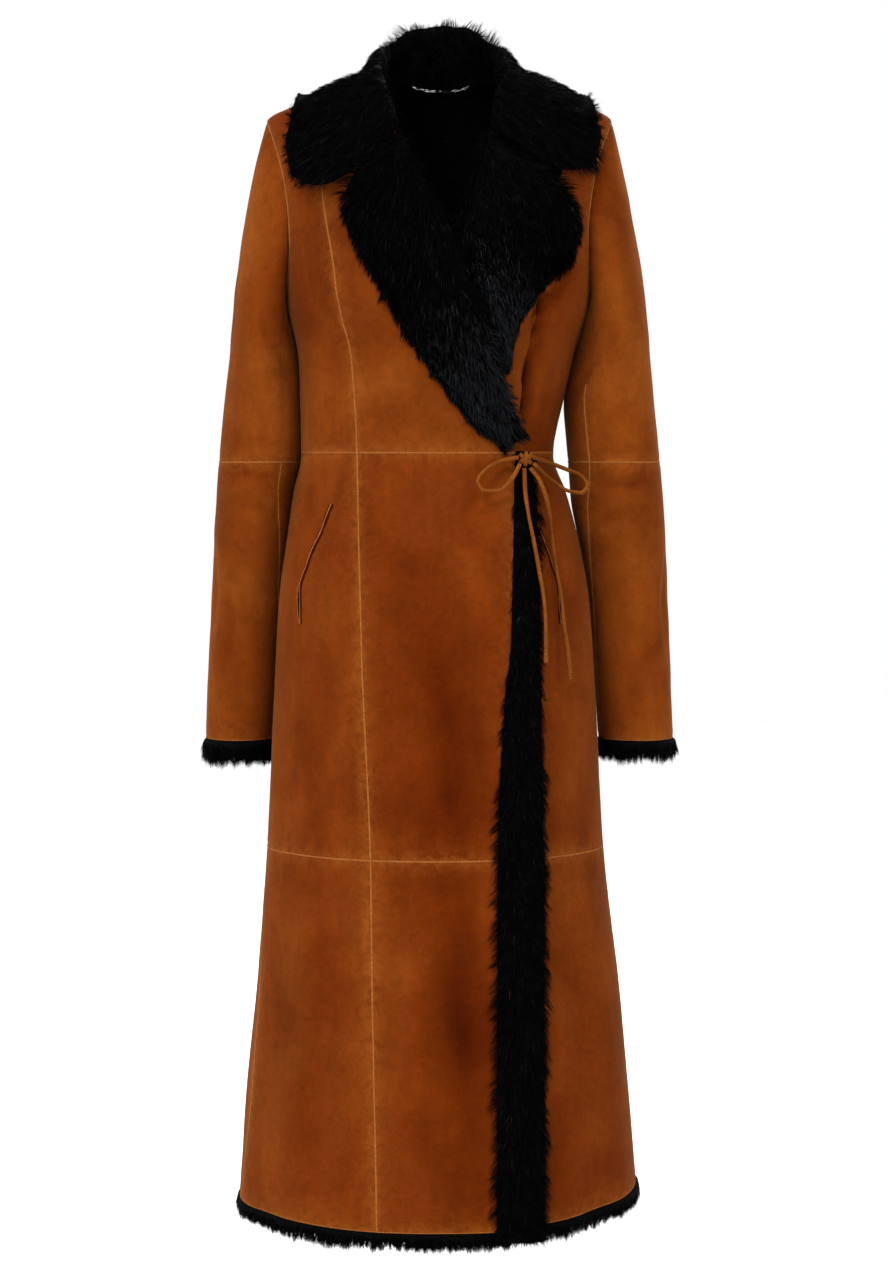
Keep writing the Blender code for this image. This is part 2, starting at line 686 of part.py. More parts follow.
def armhole_miter(side, turn):
    """Where the inner faces of body and sleeve meet, WALL under both at the armhole's edge."""
    angle, z = armhole(side, turn)
    body_way = body_normal(angle, z)
    sleeve_way = sleeve_normal(side, turn, 0.0)
    spread = 1 + np.sum(body_way * sleeve_way, axis=-1, keepdims=True)
    return body(angle, z) - WALL * (body_way + sleeve_way) / np.maximum(spread, 0.5)


def panel(name, lines, counts, material, surface=body, edges_on_armhole=()):
    """A wall between the lines. edges_on_armhole: (column, side, facing) where a line ends at an armhole."""
    angle, z = grid_between(lines, counts)
    outer = surface(angle, z)
    inner = outer - WALL * normal_of(surface, angle, z)
    for column, side, facing in edges_on_armhole:
        inner[-(ARMHOLE_ROWS + 1):, column] = armhole_miter(side, armhole_rows() * facing)
    return wall(name, outer, inner, material)


def bodice(suede):
    for side, name in ((-1, "right"), (1, "left")):
        face = lapped if side < 0 else body
        princess = bodice_princess(side)
        panel(f"front_side_bodice_{name}", [bodice_side(side, 1), princess], [SIDE_COLUMNS],
              suede, face, [(0, side, 1)])
        panel(f"front_centre_bodice_{name}", [princess, bodice_edge(side)], [CENTRE_COLUMNS],
              suede, face)
    lines = [bodice_side(1, -1), bodice_back_neck(1), bodice_back_middle()]
    right = [bodice_back_neck(-1), bodice_side(-1, -1)]
    lines += [(angle % 360, z) for angle, z in right]
    counts = [BACK_SIDE_COLUMNS, BACK_CENTRE_COLUMNS, BACK_CENTRE_COLUMNS, BACK_SIDE_COLUMNS]
    panel("back_bodice", lines, counts, suede, body, [(0, 1, -1), (-1, -1, -1)])


def skirt(suede):
    for tier, top, bottom, rows in (
        ("skirt", WAIST_Z, KNEE_Z, SKIRT_ROWS),
        ("lower_skirt", KNEE_Z, HEM_Z, LOWER_SKIRT_ROWS),
    ):
        lines = skirt_lines(np.linspace(bottom, top, rows + 1))
        for side, name in ((-1, "right"), (1, "left")):
            face = lapped if side < 0 else body
            panel(f"front_side_{tier}_{name}", [lines[name + "_side"], lines[name + "_princess"]],
                  [SIDE_COLUMNS], suede, face)
            panel(f"front_centre_{tier}_{name}", [lines[name + "_princess"], lines[name + "_edge"]],
                  [CENTRE_COLUMNS], suede, face)
        back = [lines["left_side"], lines["left_back"], lines["back_middle"]]
        back += [(lines[key][0] % 360, lines[key][1]) for key in ("right_back", "right_side")]
        counts = [BACK_SIDE_COLUMNS, BACK_CENTRE_COLUMNS, BACK_CENTRE_COLUMNS, BACK_SIDE_COLUMNS]
        panel(f"back_{tier}", back, counts, suede)


# ---------------------------------------------------------------- sleeves


def body_side_x(side, y, z):
    """How far the body reaches to this side at depth y."""
    depth = np.where(y > 0, BODY["back"](z), BODY["front"](z))
    share = np.clip(np.abs(y) / depth, 0, 0.99)
    reach = BODY["half_width"](z) * (1 - share ** BODY_SQUARENESS) ** (1 / BODY_SQUARENESS)
    return reach + side * BODY["centre_x"](z)


def sleeve_ring(side, turn, z):
    """The sleeve's outer face below the armpit. turn: 0 outer, 90 front, 180 inner, 270 back."""
    outer = SLEEVE["outer_x"](z) + (RIGHT_WIDER if side < 0 else 0)
    centre_y, half_depth = SLEEVE["centre_y"](z), SLEEVE["half_depth"](z)
    free_inner = outer - SLEEVE["width"](z)
    gap = SLEEVE["right_gap" if side < 0 else "left_gap"](z)
    held_inner = body_side_x(side, centre_y, z) + gap
    inner = np.logaddexp(free_inner * SHARPNESS, held_inner * SHARPNESS) / SHARPNESS
    centre, half_width = (outer + inner) / 2, (outer - inner) / 2
    turn = np.radians(turn)
    x = side * (centre + half_width * np.cos(turn))
    y = centre_y - half_depth * np.sin(turn)
    return np.stack(np.broadcast_arrays(x, y, z), axis=-1)


def sleeve_cap(side, turn, share):
    """The sleeve's outer face from the armhole (share 0) to its first level ring (share 1)."""
    turn = np.asarray(turn, float)
    share = np.asarray(share, float)[..., None]
    first = body(*armhole(side, turn))
    last = sleeve_ring(side, turn, SLEEVE_ROWS[0][0])
    length = np.linalg.norm(last - first, axis=-1, keepdims=True)
    sine, cosine = np.sin(np.radians(turn)), np.cos(np.radians(turn))
    down = -np.ones_like(turn)
    leave = np.stack(
        [side * (CAP_LEAVES_OUTWARD + CAP_LEAVES_WIDER * cosine), -CAP_LEAVES_FORWARD * sine, down], axis=-1
    )
    arrive = np.stack([side * (CAP_ARRIVES_WIDER * cosine - CAP_ARRIVES_INWARD), 0 * turn, down], axis=-1)
    t, t2, t3 = share, share**2, share**3
    return (
        (2 * t3 - 3 * t2 + 1) * first
        + (t3 - 2 * t2 + t) * unit(leave) * length
        + (3 * t2 - 2 * t3) * last
        + (t3 - t2) * unit(arrive) * length
    )


def sleeve(side, turn, along):
    """The sleeve's outer face. along: 0 armhole, 1 first level ring, 2 cuff."""
    turn, along = np.broadcast_arrays(np.asarray(turn, float), np.asarray(along, float))
    z = blend(SLEEVE_ROWS[0][0], CUFF_Z, np.clip(along - 1, 0, 1.2))
    cap = sleeve_cap(side, turn, np.clip(along, -0.02, 1))
    return np.where((along < 1)[..., None], cap, sleeve_ring(side, turn, z))


def sleeve_normal(side, turn, along):
    turn, along = np.broadcast_arrays(np.asarray(turn, float), np.asarray(along, float))
    around = sleeve(side, turn + 0.5, along) - sleeve(side, turn - 0.5, along)
    down = sleeve(side, turn, along + 0.01) - sleeve(side, turn, np.maximum(along - 0.01, 0))
    return unit(np.cross(around, down)) * side


def sleeve_rows():
    """The values of along for the upper sleeve and the forearm."""
    elbow = 1 + (ELBOW_Z - SLEEVE_ROWS[0][0]) / (CUFF_Z - SLEEVE_ROWS[0][0])
    upper = np.concatenate(
        [np.linspace(0, 1, CAP_ROWS + 1), np.linspace(1, elbow, UPPER_SLEEVE_ROWS + 1)[1:]]
    )
    return upper, np.linspace(elbow, 2, FOREARM_ROWS + 1)


def sleeve_turns(z, under):
    """A row of angles at each height, from seam to seam. At the armhole they are the body's own points."""
    step = 180 / ARMHOLE_ROWS
    at_armhole = 180 + step * np.arange(-2, 3) if under else np.arange(-7, 8) * step
    low, high = SLEEVE_SEAM["front"](z), SLEEVE_SEAM["back"](z)
    if not under:
        low, high = high - 360, low
    share = (at_armhole - at_armhole[0]) / (at_armhole[-1] - at_armhole[0])
    even = low[:, None] + (high - low)[:, None] * share
    settle = smoothstep(z, SHOULDER_TIP_Z, SLEEVE_ROWS[0][0])[:, None]
    return blend(np.broadcast_to(at_armhole, even.shape), even, settle)


def sleeves(suede):
    upper, forearm = sleeve_rows()
    for side, name in ((-1, "right"), (1, "left")):
        for part, along in (("upper", upper), ("forearm", forearm)):
            first_z = np.where(along < 1, blend(SHOULDER_TIP_Z, SLEEVE_ROWS[0][0], along), 0)
            z = np.where(along < 1, first_z, blend(SLEEVE_ROWS[0][0], CUFF_Z, along - 1))
            for under, kind in ((False, "top"), (True, "under")):
                turn = sleeve_turns(z, under)
                where = np.broadcast_to(along[:, None], turn.shape)
                outer = sleeve(side, turn, where)
                inner = outer - WALL * sleeve_normal(side, turn, where)
                if part == "upper":
                    inner[0] = armhole_miter(side, turn[0] % 360)
                    away = unit(outer[1] - outer[0]) * SEAM_GAP
                    outer[0] += away
                    inner[0] += away
                wall(f"sleeve_{part}_{kind}_{name}", outer, inner, suede)


# ---------------------------------------------------------------- collar and lapels


def walk(points, share):
    """The points at the shares of the length of a chain of straight pieces."""
    length = np.concatenate([[0], np.cumsum(np.linalg.norm(np.diff(points, axis=0), axis=1))])
    at = np.asarray(share) * length[-1]
    return np.stack([np.interp(at, length, points[:, i]) for i in range(3)], axis=-1)


def at_index(points, at):
    """The point on a chain of straight pieces, counted in pieces."""
    return np.stack([np.interp(at, np.arange(len(points)), points[:, i]) for i in range(3)], axis=-1)


def neckline(side):
    """(outer, inner) points of the neck's edge from the middle of the back to the collar's end."""
    back_angle = np.linspace(180, 90, BACK_CENTRE_COLUMNS + 1)
    back_z = np.linspace(NAPE_Z, 0, BACK_CENTRE_COLUMNS + 1)
    angle, z = bodice_edge(side)
    face = lapped if side < 0 else body
    outer = [body(side * back_angle, back_z), face(angle, z)[-2::-1]]
    inner = [
        outer[0] - WALL * body_normal(side * back_angle, back_z),
        outer[1] - WALL * normal_of(face, angle, z)[-2::-1],
    ]
    ends = len(back_z) + int(np.sum(z[:-1] > COLLAR_END_Z - 0.004))
    return np.concatenate(outer)[:ends], np.concatenate(inner)[:ends], len(back_z)


def collar_half(side):
    """Sections of the collar from the middle of the back to its end on one front."""
    outer, inner, back_count = neckline(side)
    last = len(outer) - 1
    sections = []
    for at in np.arange(0, last + COLLAR_STEP / 2, COLLAR_STEP):
        share = np.interp(at, (0, back_count - 1, last), (0, COLLAR_SIDE_SHARE, 1))
        neck, neck_in = at_index(outer, at), at_index(inner, at)
        row = {name: float(curve(share)) for name, curve in COLLAR.items()}
        front = float(smoothstep(share, COLLAR_SIDE_SHARE, 1.0))
        if side > 0:
            wider = float(smoothstep(share, *LEFT_WIDER_SHARES))
            row["edge_x"] += LEFT_WIDER * wider
            row["pile"] += LEFT_THICKER * wider * (1 - front)
            row["edge_z"] += LEFT_CORNER_LIFT * front
            row["sag"] *= LEFT_SAG_SHARE
        turned = angle_at(BODY["centre_x"](row["edge_z"]) + row["edge_x"], row["edge_z"])
        row["edge_angle"] = float(turned if share > COLLAR_SIDE_SHARE else 180 - turned)
        if abs(share - COLLAR_SIDE_SHARE) < 0.001:
            row["edge_angle"] = 90.0
        along = at_index(outer, at + COLLAR_STEP / 2) - at_index(outer, at - COLLAR_STEP / 2)
        sections.append(collar_section(side, neck, neck_in, row, front, along))
    return sections


def collar_section(side, neck, neck_in, row, front, along):
    """One closed section: up the stand's inside, over the fold and down to the leaf's edge."""
    inward = unit(np.array([-neck[0], NECK_CENTRE_Y - neck[1], 0.0]))
    up = np.array([0.0, 0.0, 1.0])
    out_of_face = unit(neck - neck_in)
    lift = unit(np.cross(along, out_of_face))
    lift = lift if lift[2] > 0 else -lift
    pile, lean, stand = row["pile"], row["lean"], row["stand"]
    neck_angle = float(angle_of(neck))
    face = lapped if side < 0 else body
    under, top = [], []
    for share, thick in COLLAR_LEAF:
        angle = blend(neck_angle, row["edge_angle"], share) * side
        z = blend(neck[2], row["edge_z"], share) - row["sag"] * 4 * share * (1 - share)
        base = face(angle, z)
        out = normal_of(face, angle, z)
        under.append(base + out * LEAF_SEAT)
        top.append(base + out * pile * thick)
    edge_way = unit(under[-1] - under[-2])
    tip = (under[-1] + top[-1]) / 2 + edge_way * pile * COLLAR_TIP_REACH
    standing = [
        neck_in + inward * (lean * of_lean + inwards) + up * (stand * of_stand + higher) + lift * off
        for of_lean, inwards, of_stand, higher, off in COLLAR_STAND
    ]
    rolled = [
        (neck if outer else neck_in) + lift * off + out_of_face * away
        for outer, off, away in COLLAR_ROLL
    ]
    fold = [blend(a, b, front) for a, b in zip(standing, rolled)]
    return [neck + lift * COLLAR_LIFT, *under, tip, *top[::-1], *fold, neck_in + lift * COLLAR_LIFT]


def angle_of(point):
    """The angle round the body, without its sign, of a point on its face."""
    x, y, z = point
    depth = BODY["back"](z) if y > 0 else BODY["front"](z)
    across = signed_power(abs(x - BODY["centre_x"](z)) / BODY["half_width"](z), BODY_SQUARENESS / 2)
    along = signed_power(-y / depth, BODY_SQUARENESS / 2)
    return np.degrees(np.arctan2(across, along))


def collar(pile):
    right, left = collar_half(-1), collar_half(1)
    loft("collar", right[::-1] + left[1:], pile)


def lapel(name, side, seat, fold_z, inner_angle, row, profile, pile):
    """Pile turned out along a fold line: rows of closed sections from the gorge down to a point."""
    face = lapped if side < 0 else body
    rings = []
    for i, z in enumerate(fold_z):
        edge_angle = angle_at(row["edge_x"][i], row["edge_z"][i])
        width = np.linalg.norm(face(edge_angle, row["edge_z"][i]) - face(inner_angle[i], z))
        thick = min(row["pile"][i], LAPEL_THICKEST * width + LAPEL_THIN)
        angle = blend(inner_angle[i], edge_angle, np.array(LAPEL_ACROSS))
        height = blend(z, row["edge_z"][i], np.array(LAPEL_ACROSS))
        base = face(angle, height)
        out = normal_of(face, angle, height)
        under = base + out * seat
        top = base + out * (seat + thick * np.array(profile)[:, None])
        outward = unit(under[-1] - under[-2])
        roll = unit(under[0] - under[1])
        reach = row["overhang"][i]
        tip = (under[-1] + top[-1]) / 2 + outward * thick * LAPEL_TIP_REACH
        ring = [*under, tip, *top[::-1]]
        if side < 0:
            ring += [
                under[0] + roll * (reach * of_reach + RIGHT_LAPEL_GAP)
                + out[0] * (thick * of_thick + WALL * of_wall)
                for of_reach, of_thick, of_wall in RIGHT_LAPEL_ROLL
            ]
        else:
            ring.append(under[0] + roll * (reach + LEFT_LAPEL_GAP) + out[0] * thick * LEFT_LAPEL_ROLL)
        rings.append(ring)
    loft(name, rings, pile)


def lapels(pile):
    rows = RIGHT_LAPEL_ROWS
    share = np.linspace(0, 1, LAPEL_ROWS + 1)
    fold_z = blend(rows[0][0], rows[-1][0], share)
    row = {name: curve(fold_z) for name, curve in RIGHT_LAPEL.items()}
    lapel("lapel_right", -1, RIGHT_LAPEL_SEAT, fold_z, angle_at(edge_x(-1, fold_z), fold_z), row,
          RIGHT_LAPEL_HEIGHT, pile)
    rows = LEFT_LAPEL_ROWS
    fold_z = blend(rows[0][0], rows[-1][0], share)
    row = {name: curve(fold_z) for name, curve in LEFT_LAPEL.items()}
    lapel("lapel_left", 1, LEFT_LAPEL_SEAT, fold_z, angle_at(row["inner_x"], fold_z), row,
          LEFT_LAPEL_HEIGHT, pile)


# ---------------------------------------------------------------- pile at the edges


def grid_of_front(side, tier):
    top, bottom, rows = (WAIST_Z, KNEE_Z, SKIRT_ROWS) if tier else (KNEE_Z, HEM_Z, LOWER_SKIRT_ROWS)
    lines = skirt_lines(np.linspace(bottom, top, rows + 1))
    name = "right" if side < 0 else "left"
    angle, z = grid_between([lines[name + "_princess"], lines[name + "_edge"]], [CENTRE_COLUMNS])
    return (lapped if side < 0 else body)(angle, z)


def edge_lines():
    """The right front's edge, and the line of its wall's corners next to the edge, from the waist down."""
    upper, lower = grid_of_front(-1, True), grid_of_front(-1, False)
    grid = np.concatenate([lower, upper[1:]])[::-1]
    return grid[:, -1], grid[:, -2]


def edge_frame(z):
    """The right front's edge at z, the way that the front runs past it, and the way out of the front."""
    edge, before = edge_lines()
    q = np.array([np.interp(-z, -edge[:, 2], edge[:, i]) for i in range(3)])
    p = np.array([np.interp(-z, -before[:, 2], before[:, i]) for i in range(3)])
    q[2] = p[2] = z
    along = unit(q - p)
    return q, along, np.array([along[1], -along[0], 0.0])


def edge_band(pile):
    heights = np.concatenate([[EDGE_BAND_ROWS[0][0]], edge_lines()[0][:, 2]])
    heights = np.append(heights, HEM_Z - np.array(EDGE_BAND_BELOW_HEM))
    rings = []
    for z in heights:
        q, t, n = edge_frame(z)
        w, lip = float(EDGE_BAND["width"](z)), float(EDGE_BAND["lip"](z))
        rings.append([
            q + t * (w * of_width + lip * of_lip + along) + n * out
            for of_width, of_lip, along, out in EDGE_BAND_SECTION
        ])
    loft("front_edge_pile", rings, pile)


def hem_ring(surface, angle, z, section, reach_out, reach_in):
    base = surface(angle, z)
    out = unit(body_normal(angle, z) * (1, 1, 0))
    rings = []
    for i in range(len(angle)):
        ring = []
        for away, down in section:
            away = away * (reach_out[i] if away > 0 else reach_in[i])
            ring.append(base[i] + out[i] * away + np.array([0, 0, down]))
        rings.append(ring)
    return rings


def front_hem(name):
    """(angles, heights) of the columns of one front at the hem, from its side seam to its edge."""
    lines = skirt_lines(np.array([HEM_Z]))
    found = [lines[f"{name}_{line}"] for line in ("side", "princess", "edge")]
    angle, z = grid_between(found, [SIDE_COLUMNS, CENTRE_COLUMNS])
    return angle[0], z[0]


def hem_pile(pile):
    right, right_z = front_hem("right")
    right[-1] = blend(right[-2], right[-1], HEM_LAST_SHARE)
    outward = 1 - smoothstep(right, right[-3], right[-2])
    lap = smoothstep(right, LAP_FROM_ANGLE - 20, LAP_FROM_ANGLE)
    reach_in = 1 - HEM_THINNER_ON_LAP * lap
    loft("hem_pile_right", hem_ring(lapped, right, right_z, HEM_SECTION, outward, reach_in), pile)
    left, left_z = front_hem("left")
    under_lap = smoothstep(left, *UNDER_LAP)
    reach_out = 1 - HEM_THINNER_UNDER_LAP * under_lap
    ones = np.ones_like(left)
    loft("hem_pile_left", hem_ring(body, left, left_z, HEM_SECTION, reach_out, ones), pile)
    lines = skirt_lines(np.array([HEM_Z]))
    back = [lines["left_side"], lines["left_back"], lines["back_middle"]]
    back += [(lines[key][0] % 360, lines[key][1]) for key in ("right_back", "right_side")]
    counts = [BACK_SIDE_COLUMNS, BACK_CENTRE_COLUMNS, BACK_CENTRE_COLUMNS, BACK_SIDE_COLUMNS]
    angle, z = grid_between(back, counts)
    angle, z = angle[0], z[0]
    angle[0] += HEM_END_GAP
    angle[-1] -= HEM_END_GAP
    ones = np.ones_like(angle)
    loft("hem_pile_back", hem_ring(body, angle, z, HEM_SECTION, ones, ones), pile)


def cuff_pile(pile):
    for side, name in ((-1, "right"), (1, "left")):
        long = CUFF_PILE_LENGTH[name]
        z = np.array([CUFF_Z])
        turn = np.concatenate([sleeve_turns(z, False)[0], sleeve_turns(z, True)[0][1:-1]])
        base = sleeve(side, turn, np.full_like(turn, 2.0))
        out = unit(sleeve_normal(side, turn, np.full_like(turn, 2.0)) * (1, 1, 0))
        rings = [
            [base[i] + out[i] * away + np.array([0, 0, down * long]) for away, down in CUFF_SECTION]
            for i in range(len(turn))
        ]
        loft(f"cuff_pile_{name}", rings, pile, closed=True)


# ---------------------------------------------------------------- pockets, lace and hanger


def pockets(suede):
    for side, name in ((-1, "right"), (1, "left")):
        face = lapped if side < 0 else body
        z = np.linspace(POCKET_ROWS[0][0], POCKET_ROWS[-1][0], WELT_POINTS)
        x = POCKET["right_x" if side < 0 else "left_x"](z)
        centre_angle = angle_at(x, z)
        rings = []
        for i in range(len(z)):
            wide = WELT_WIDTH * (WELT_END_SHARE if i in (0, len(z) - 1) else 1.0)
            across = side * np.degrees(wide / 2 / np.linalg.norm(face(centre_angle[i], z[i])[:2]))
            ring = []
            for share, height in WELT_SECTION:
                angle = centre_angle[i] + across * share
                out = normal_of(face, angle, z[i])
                ring.append(face(angle, z[i]) + out * (WELT_SEAT + WELT_HEIGHT * height))
            rings.append(ring)
        loft(f"pocket_welt_{name}", rings, suede)


def cord(name, points, diameter, material):
    curve = bpy.data.curves.new(name, "CURVE")
    curve.dimensions = "3D"
    curve.bevel_depth = diameter / 2
    curve.bevel_resolution = 2
    curve.use_fill_caps = True
    spline = curve.splines.new("POLY")
    spline.points.add(len(points) - 1)
    for i, point in enumerate(points):
        spline.points[i].co = (*point, 1)
    curve.materials.append(material)
    obj = bpy.data.objects.new(name, curve)
    bpy.data.collections[COLLECTION].objects.link(obj)
    return obj


def smooth_path(points, count):
    """Evenly spaced points on a smooth curve through the given ones."""
    points = np.asarray(points, float)
    length = np.concatenate([[0], np.cumsum(np.linalg.norm(np.diff(points, axis=0), axis=1))])
    fine = np.linspace(0, length[-1], 400)
    curve = np.stack([pchip(length, points[:, i])(fine) for i in range(3)], axis=-1)
    return walk(curve, np.linspace(0, 1, count))


def coat_front_y(x, z):
    """The y of the coat's frontmost face at a place near the lace, the pile at the edge included."""
    y = body(angle_at(min(x, LACE_SIDE_X), z), z)[1]
    edge, along, out = edge_frame(z)
    top = edge + out * EDGE_PILE_TOP
    before, after = EDGE_PILE_MARGIN
    if top[0] - before < x < top[0] + EDGE_BAND["width"](z) + after:
        y = min(y, top[1] + along[1] / along[0] * (x - top[0]))
    if x < top[0]:
        y = min(y, lapped(angle_at(x, z), z)[1])
    return y


def lace(material):
    for name, path in LACE_PATHS.items():
        points = [
            (x, coat_front_y(x, z) - away - LACE_DIAMETER / 2, z) for x, away, z in path
        ]
        cord(f"lace_{name}", smooth_path(points, LACE_COUNTS[name]), LACE_DIAMETER, material)
    centre_y = coat_front_y(KNOT_X, KNOT_Z) - KNOT_SIZE[1] / 2 - LACE_SEAT
    rings = []
    for i in range(KNOT_RINGS):
        latitude = math.pi * (i + 0.5) / KNOT_RINGS
        rings.append([
            (
                KNOT_X + KNOT_SIZE[0] / 2 * math.cos(latitude),
                centre_y + KNOT_SIZE[1] / 2 * math.sin(latitude) * math.cos(turn),
                KNOT_Z + KNOT_SIZE[2] / 2 * math.sin(latitude) * math.sin(turn),
            )
            for turn in np.linspace(0, 2 * math.pi, KNOT_SIDES, endpoint=False)
        ])
    loft("lace_knot", rings, material)


def hanger(material):
    turn = np.radians(np.linspace(-90, 90, HANGER_POINTS))
    points = [
        (
            HANGER_HALF * math.sin(a),
            HANGER_BACK_Y - HANGER_FORWARD * math.cos(a),
            HANGER_Z - HANGER_SAG * math.cos(a),
        )
        for a in turn
    ]
    cord("hanger_chain", points, HANGER_DIAMETER, material)


def main():
    for obj in list(bpy.data.objects):
        bpy.data.objects.remove(obj)
    bpy.context.scene.collection.children.link(bpy.data.collections.new(COLLECTION))
    suede = material("suede", (0.27, 0.075, 0.012), 0.9)
    pile = material("pile", (0.006, 0.006, 0.007), 0.95)
    lace_leather = material("lace_leather", (0.33, 0.11, 0.02), 0.8)
    steel = material("steel", (0.6, 0.6, 0.6), 0.3)
    bodice(suede)
    skirt(suede)
    sleeves(suede)
    collar(pile)
    lapels(pile)
    edge_band(pile)
    hem_pile(pile)
    cuff_pile(pile)
    pockets(suede)
    lace(lace_leather)
    hanger(steel)


main()
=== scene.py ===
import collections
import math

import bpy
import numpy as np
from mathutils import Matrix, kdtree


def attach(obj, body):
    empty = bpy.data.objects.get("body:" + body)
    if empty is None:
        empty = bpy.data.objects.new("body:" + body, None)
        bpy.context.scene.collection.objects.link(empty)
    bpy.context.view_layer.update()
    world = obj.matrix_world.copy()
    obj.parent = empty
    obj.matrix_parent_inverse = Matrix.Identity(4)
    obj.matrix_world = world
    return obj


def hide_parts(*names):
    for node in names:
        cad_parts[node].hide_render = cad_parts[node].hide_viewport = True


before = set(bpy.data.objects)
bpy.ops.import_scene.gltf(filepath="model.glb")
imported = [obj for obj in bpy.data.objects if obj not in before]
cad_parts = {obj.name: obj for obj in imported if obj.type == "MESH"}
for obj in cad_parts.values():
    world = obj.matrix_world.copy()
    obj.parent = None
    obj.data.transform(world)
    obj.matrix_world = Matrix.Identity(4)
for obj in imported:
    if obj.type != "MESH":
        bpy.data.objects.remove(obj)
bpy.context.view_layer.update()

# The looks of a long wrap coat of shearling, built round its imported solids.
#
# The coat has the form that it takes when it is worn, with nobody in it: skin side out, pile side in.
# Each panel's solid gives way to a finer shell on the same surface, with the skin's cut edge, its
# creases and its pile inside. Collar, lapels, front edge, cuffs and hem wear long black pile, made
# strand by strand.
#
# All sizes are in metres. +X is the wearer's left, +Y the wearer's back and +Z up. Angles round the
# body are in degrees: 0 is the front, 90 the wearer's left, 180 the back. A side is -1 for the
# wearer's right and 1 for the left.

SIDES = {"right": -1, "left": 1}
NAMES = {-1: "right", 1: "left"}

# ================================================================ curves and small sums


def pchip(xs, ys):
    """A smooth curve through the points that never overshoots them. It takes and returns arrays."""
    order = np.argsort(xs)
    x, y = np.asarray(xs, float)[order], np.asarray(ys, float)[order]
    step = np.diff(x)
    slope = np.diff(y) / step
    before, after = slope[:-1], slope[1:]
    w1, w2 = 2 * step[1:] + step[:-1], step[1:] + 2 * step[:-1]
    same_way = before * after > 0
    harmonic = (w1 + w2) / (w1 / np.where(same_way, before, 1.0) + w2 / np.where(same_way, after, 1.0))
    tangent = np.concatenate([slope[:1], np.where(same_way, harmonic, 0.0), slope[-1:]])

    def curve(at):
        at = np.clip(np.asarray(at, float), x[0], x[-1])
        i = np.clip(np.searchsorted(x, at, side="right") - 1, 0, len(step) - 1)
        h = step[i]
        t = (at - x[i]) / h
        return (
            (1 + 2 * t) * (1 - t) ** 2 * y[i] + t * (1 - t) ** 2 * h * tangent[i]
            + t * t * (3 - 2 * t) * y[i + 1] + t * t * (t - 1) * h * tangent[i + 1]
        )

    return curve


def columns(names, *rows):
    """A table's columns after the first, each as a smooth curve over the first."""
    first, *others = zip(*rows)
    return {name: pchip(first, values) for name, values in zip(names.split()[1:], others)}


def smoothstep(value, low, high):
    t = np.clip((value - low) / (high - low), 0, 1)
    return t * t * (3 - 2 * t)


def hump(off):
    """1 in the middle, easing to 0 where off is -1 or 1, and 0 past that."""
    return 0.5 + 0.5 * np.cos(np.pi * np.clip(off, -1, 1))


def signed_power(value, power):
    return np.sign(value) * np.abs(value) ** power


def blend(a, b, share):
    return a + (b - a) * share


def unit(vectors):
    return vectors / np.maximum(np.linalg.norm(vectors, axis=-1, keepdims=True), 1e-12)


def steps(points, axis=0):
    """The distances from each point to the next."""
    return np.linalg.norm(np.diff(points, axis=axis), axis=-1)


def lengths(points):
    """How far along a chain of straight pieces each of its points lies."""
    return np.concatenate([[0], np.cumsum(steps(points))])


def between(at, places, values):
    """The three-part values, which are known at the places, at other places."""
    return np.stack([np.interp(at, places, values[:, i]) for i in range(3)], axis=-1)


def walk(points, share):
    """The points at the shares of the length of a chain of straight pieces."""
    length = lengths(points)
    return between(np.asarray(share) * length[-1], length, points)


PATH_SAMPLES = 400


def smooth_path(points, count):
    """Evenly spaced points on a smooth curve through the given ones."""
    points = np.asarray(points, float)
    length = lengths(points)
    fine = np.linspace(0, length[-1], PATH_SAMPLES)
    curve = np.stack([pchip(length, points[:, i])(fine) for i in range(3)], axis=-1)
    return walk(curve, np.linspace(0, 1, count))


# ================================================================ the coat's form, as its solids have it

# Sheet and seams
WALL = 0.005
SEAM_GAP = 0.0003

# Heights of the seams that run round the coat
WAIST_Z = -0.4095
KNEE_Z = -0.8415
HEM_Z = -1.2300
LEFT_HEM_RISE = 0.016  # how much higher the hem lies at the left side seam
ARMPIT_Z = -0.245
SHOULDER_TIP_Z = -0.050
NAPE_Z = -0.008
SLEEVE_TOP_Z = -0.300  # below this the sleeve's sections are level
ELBOW_Z = -0.420
CUFF_Z = -0.727

# The body: one row for each level that changes its outline
BODY_SQUARENESS = 2.15
BODY = columns(
    "z half_width front back centre_x",
    (0.004, 0.070, 0.056, 0.064, 0.0000),
    (0.000, 0.076, 0.060, 0.067, 0.0000),
    (-0.012, 0.102, 0.069, 0.076, 0.0000),
    (-0.030, 0.150, 0.080, 0.087, -0.0010),
    (-0.050, 0.188, 0.090, 0.096, -0.0020),
    (-0.100, 0.182, 0.108, 0.108, -0.0025),
    (-0.170, 0.174, 0.126, 0.113, -0.0025),
    (-0.245, 0.167, 0.134, 0.108, -0.0030),
    (-0.300, 0.152, 0.126, 0.101, -0.0050),
    (-0.352, 0.1443, 0.115, 0.095, -0.0098),
    (-0.4125, 0.1383, 0.110, 0.092, -0.0151),
    (-0.453, 0.1495, 0.113, 0.102, -0.0125),
    (-0.499, 0.1590, 0.118, 0.114, -0.0094),
    (-0.572, 0.1705, 0.126, 0.128, -0.0077),
    (-0.680, 0.1770, 0.135, 0.136, -0.0067),
    (-0.8415, 0.1854, 0.149, 0.143, -0.0061),
    (-1.010, 0.2015, 0.165, 0.157, -0.0035),
    (-1.110, 0.2115, 0.174, 0.166, -0.0040),
    (-1.230, 0.2205, 0.184, 0.178, -0.0030),
)

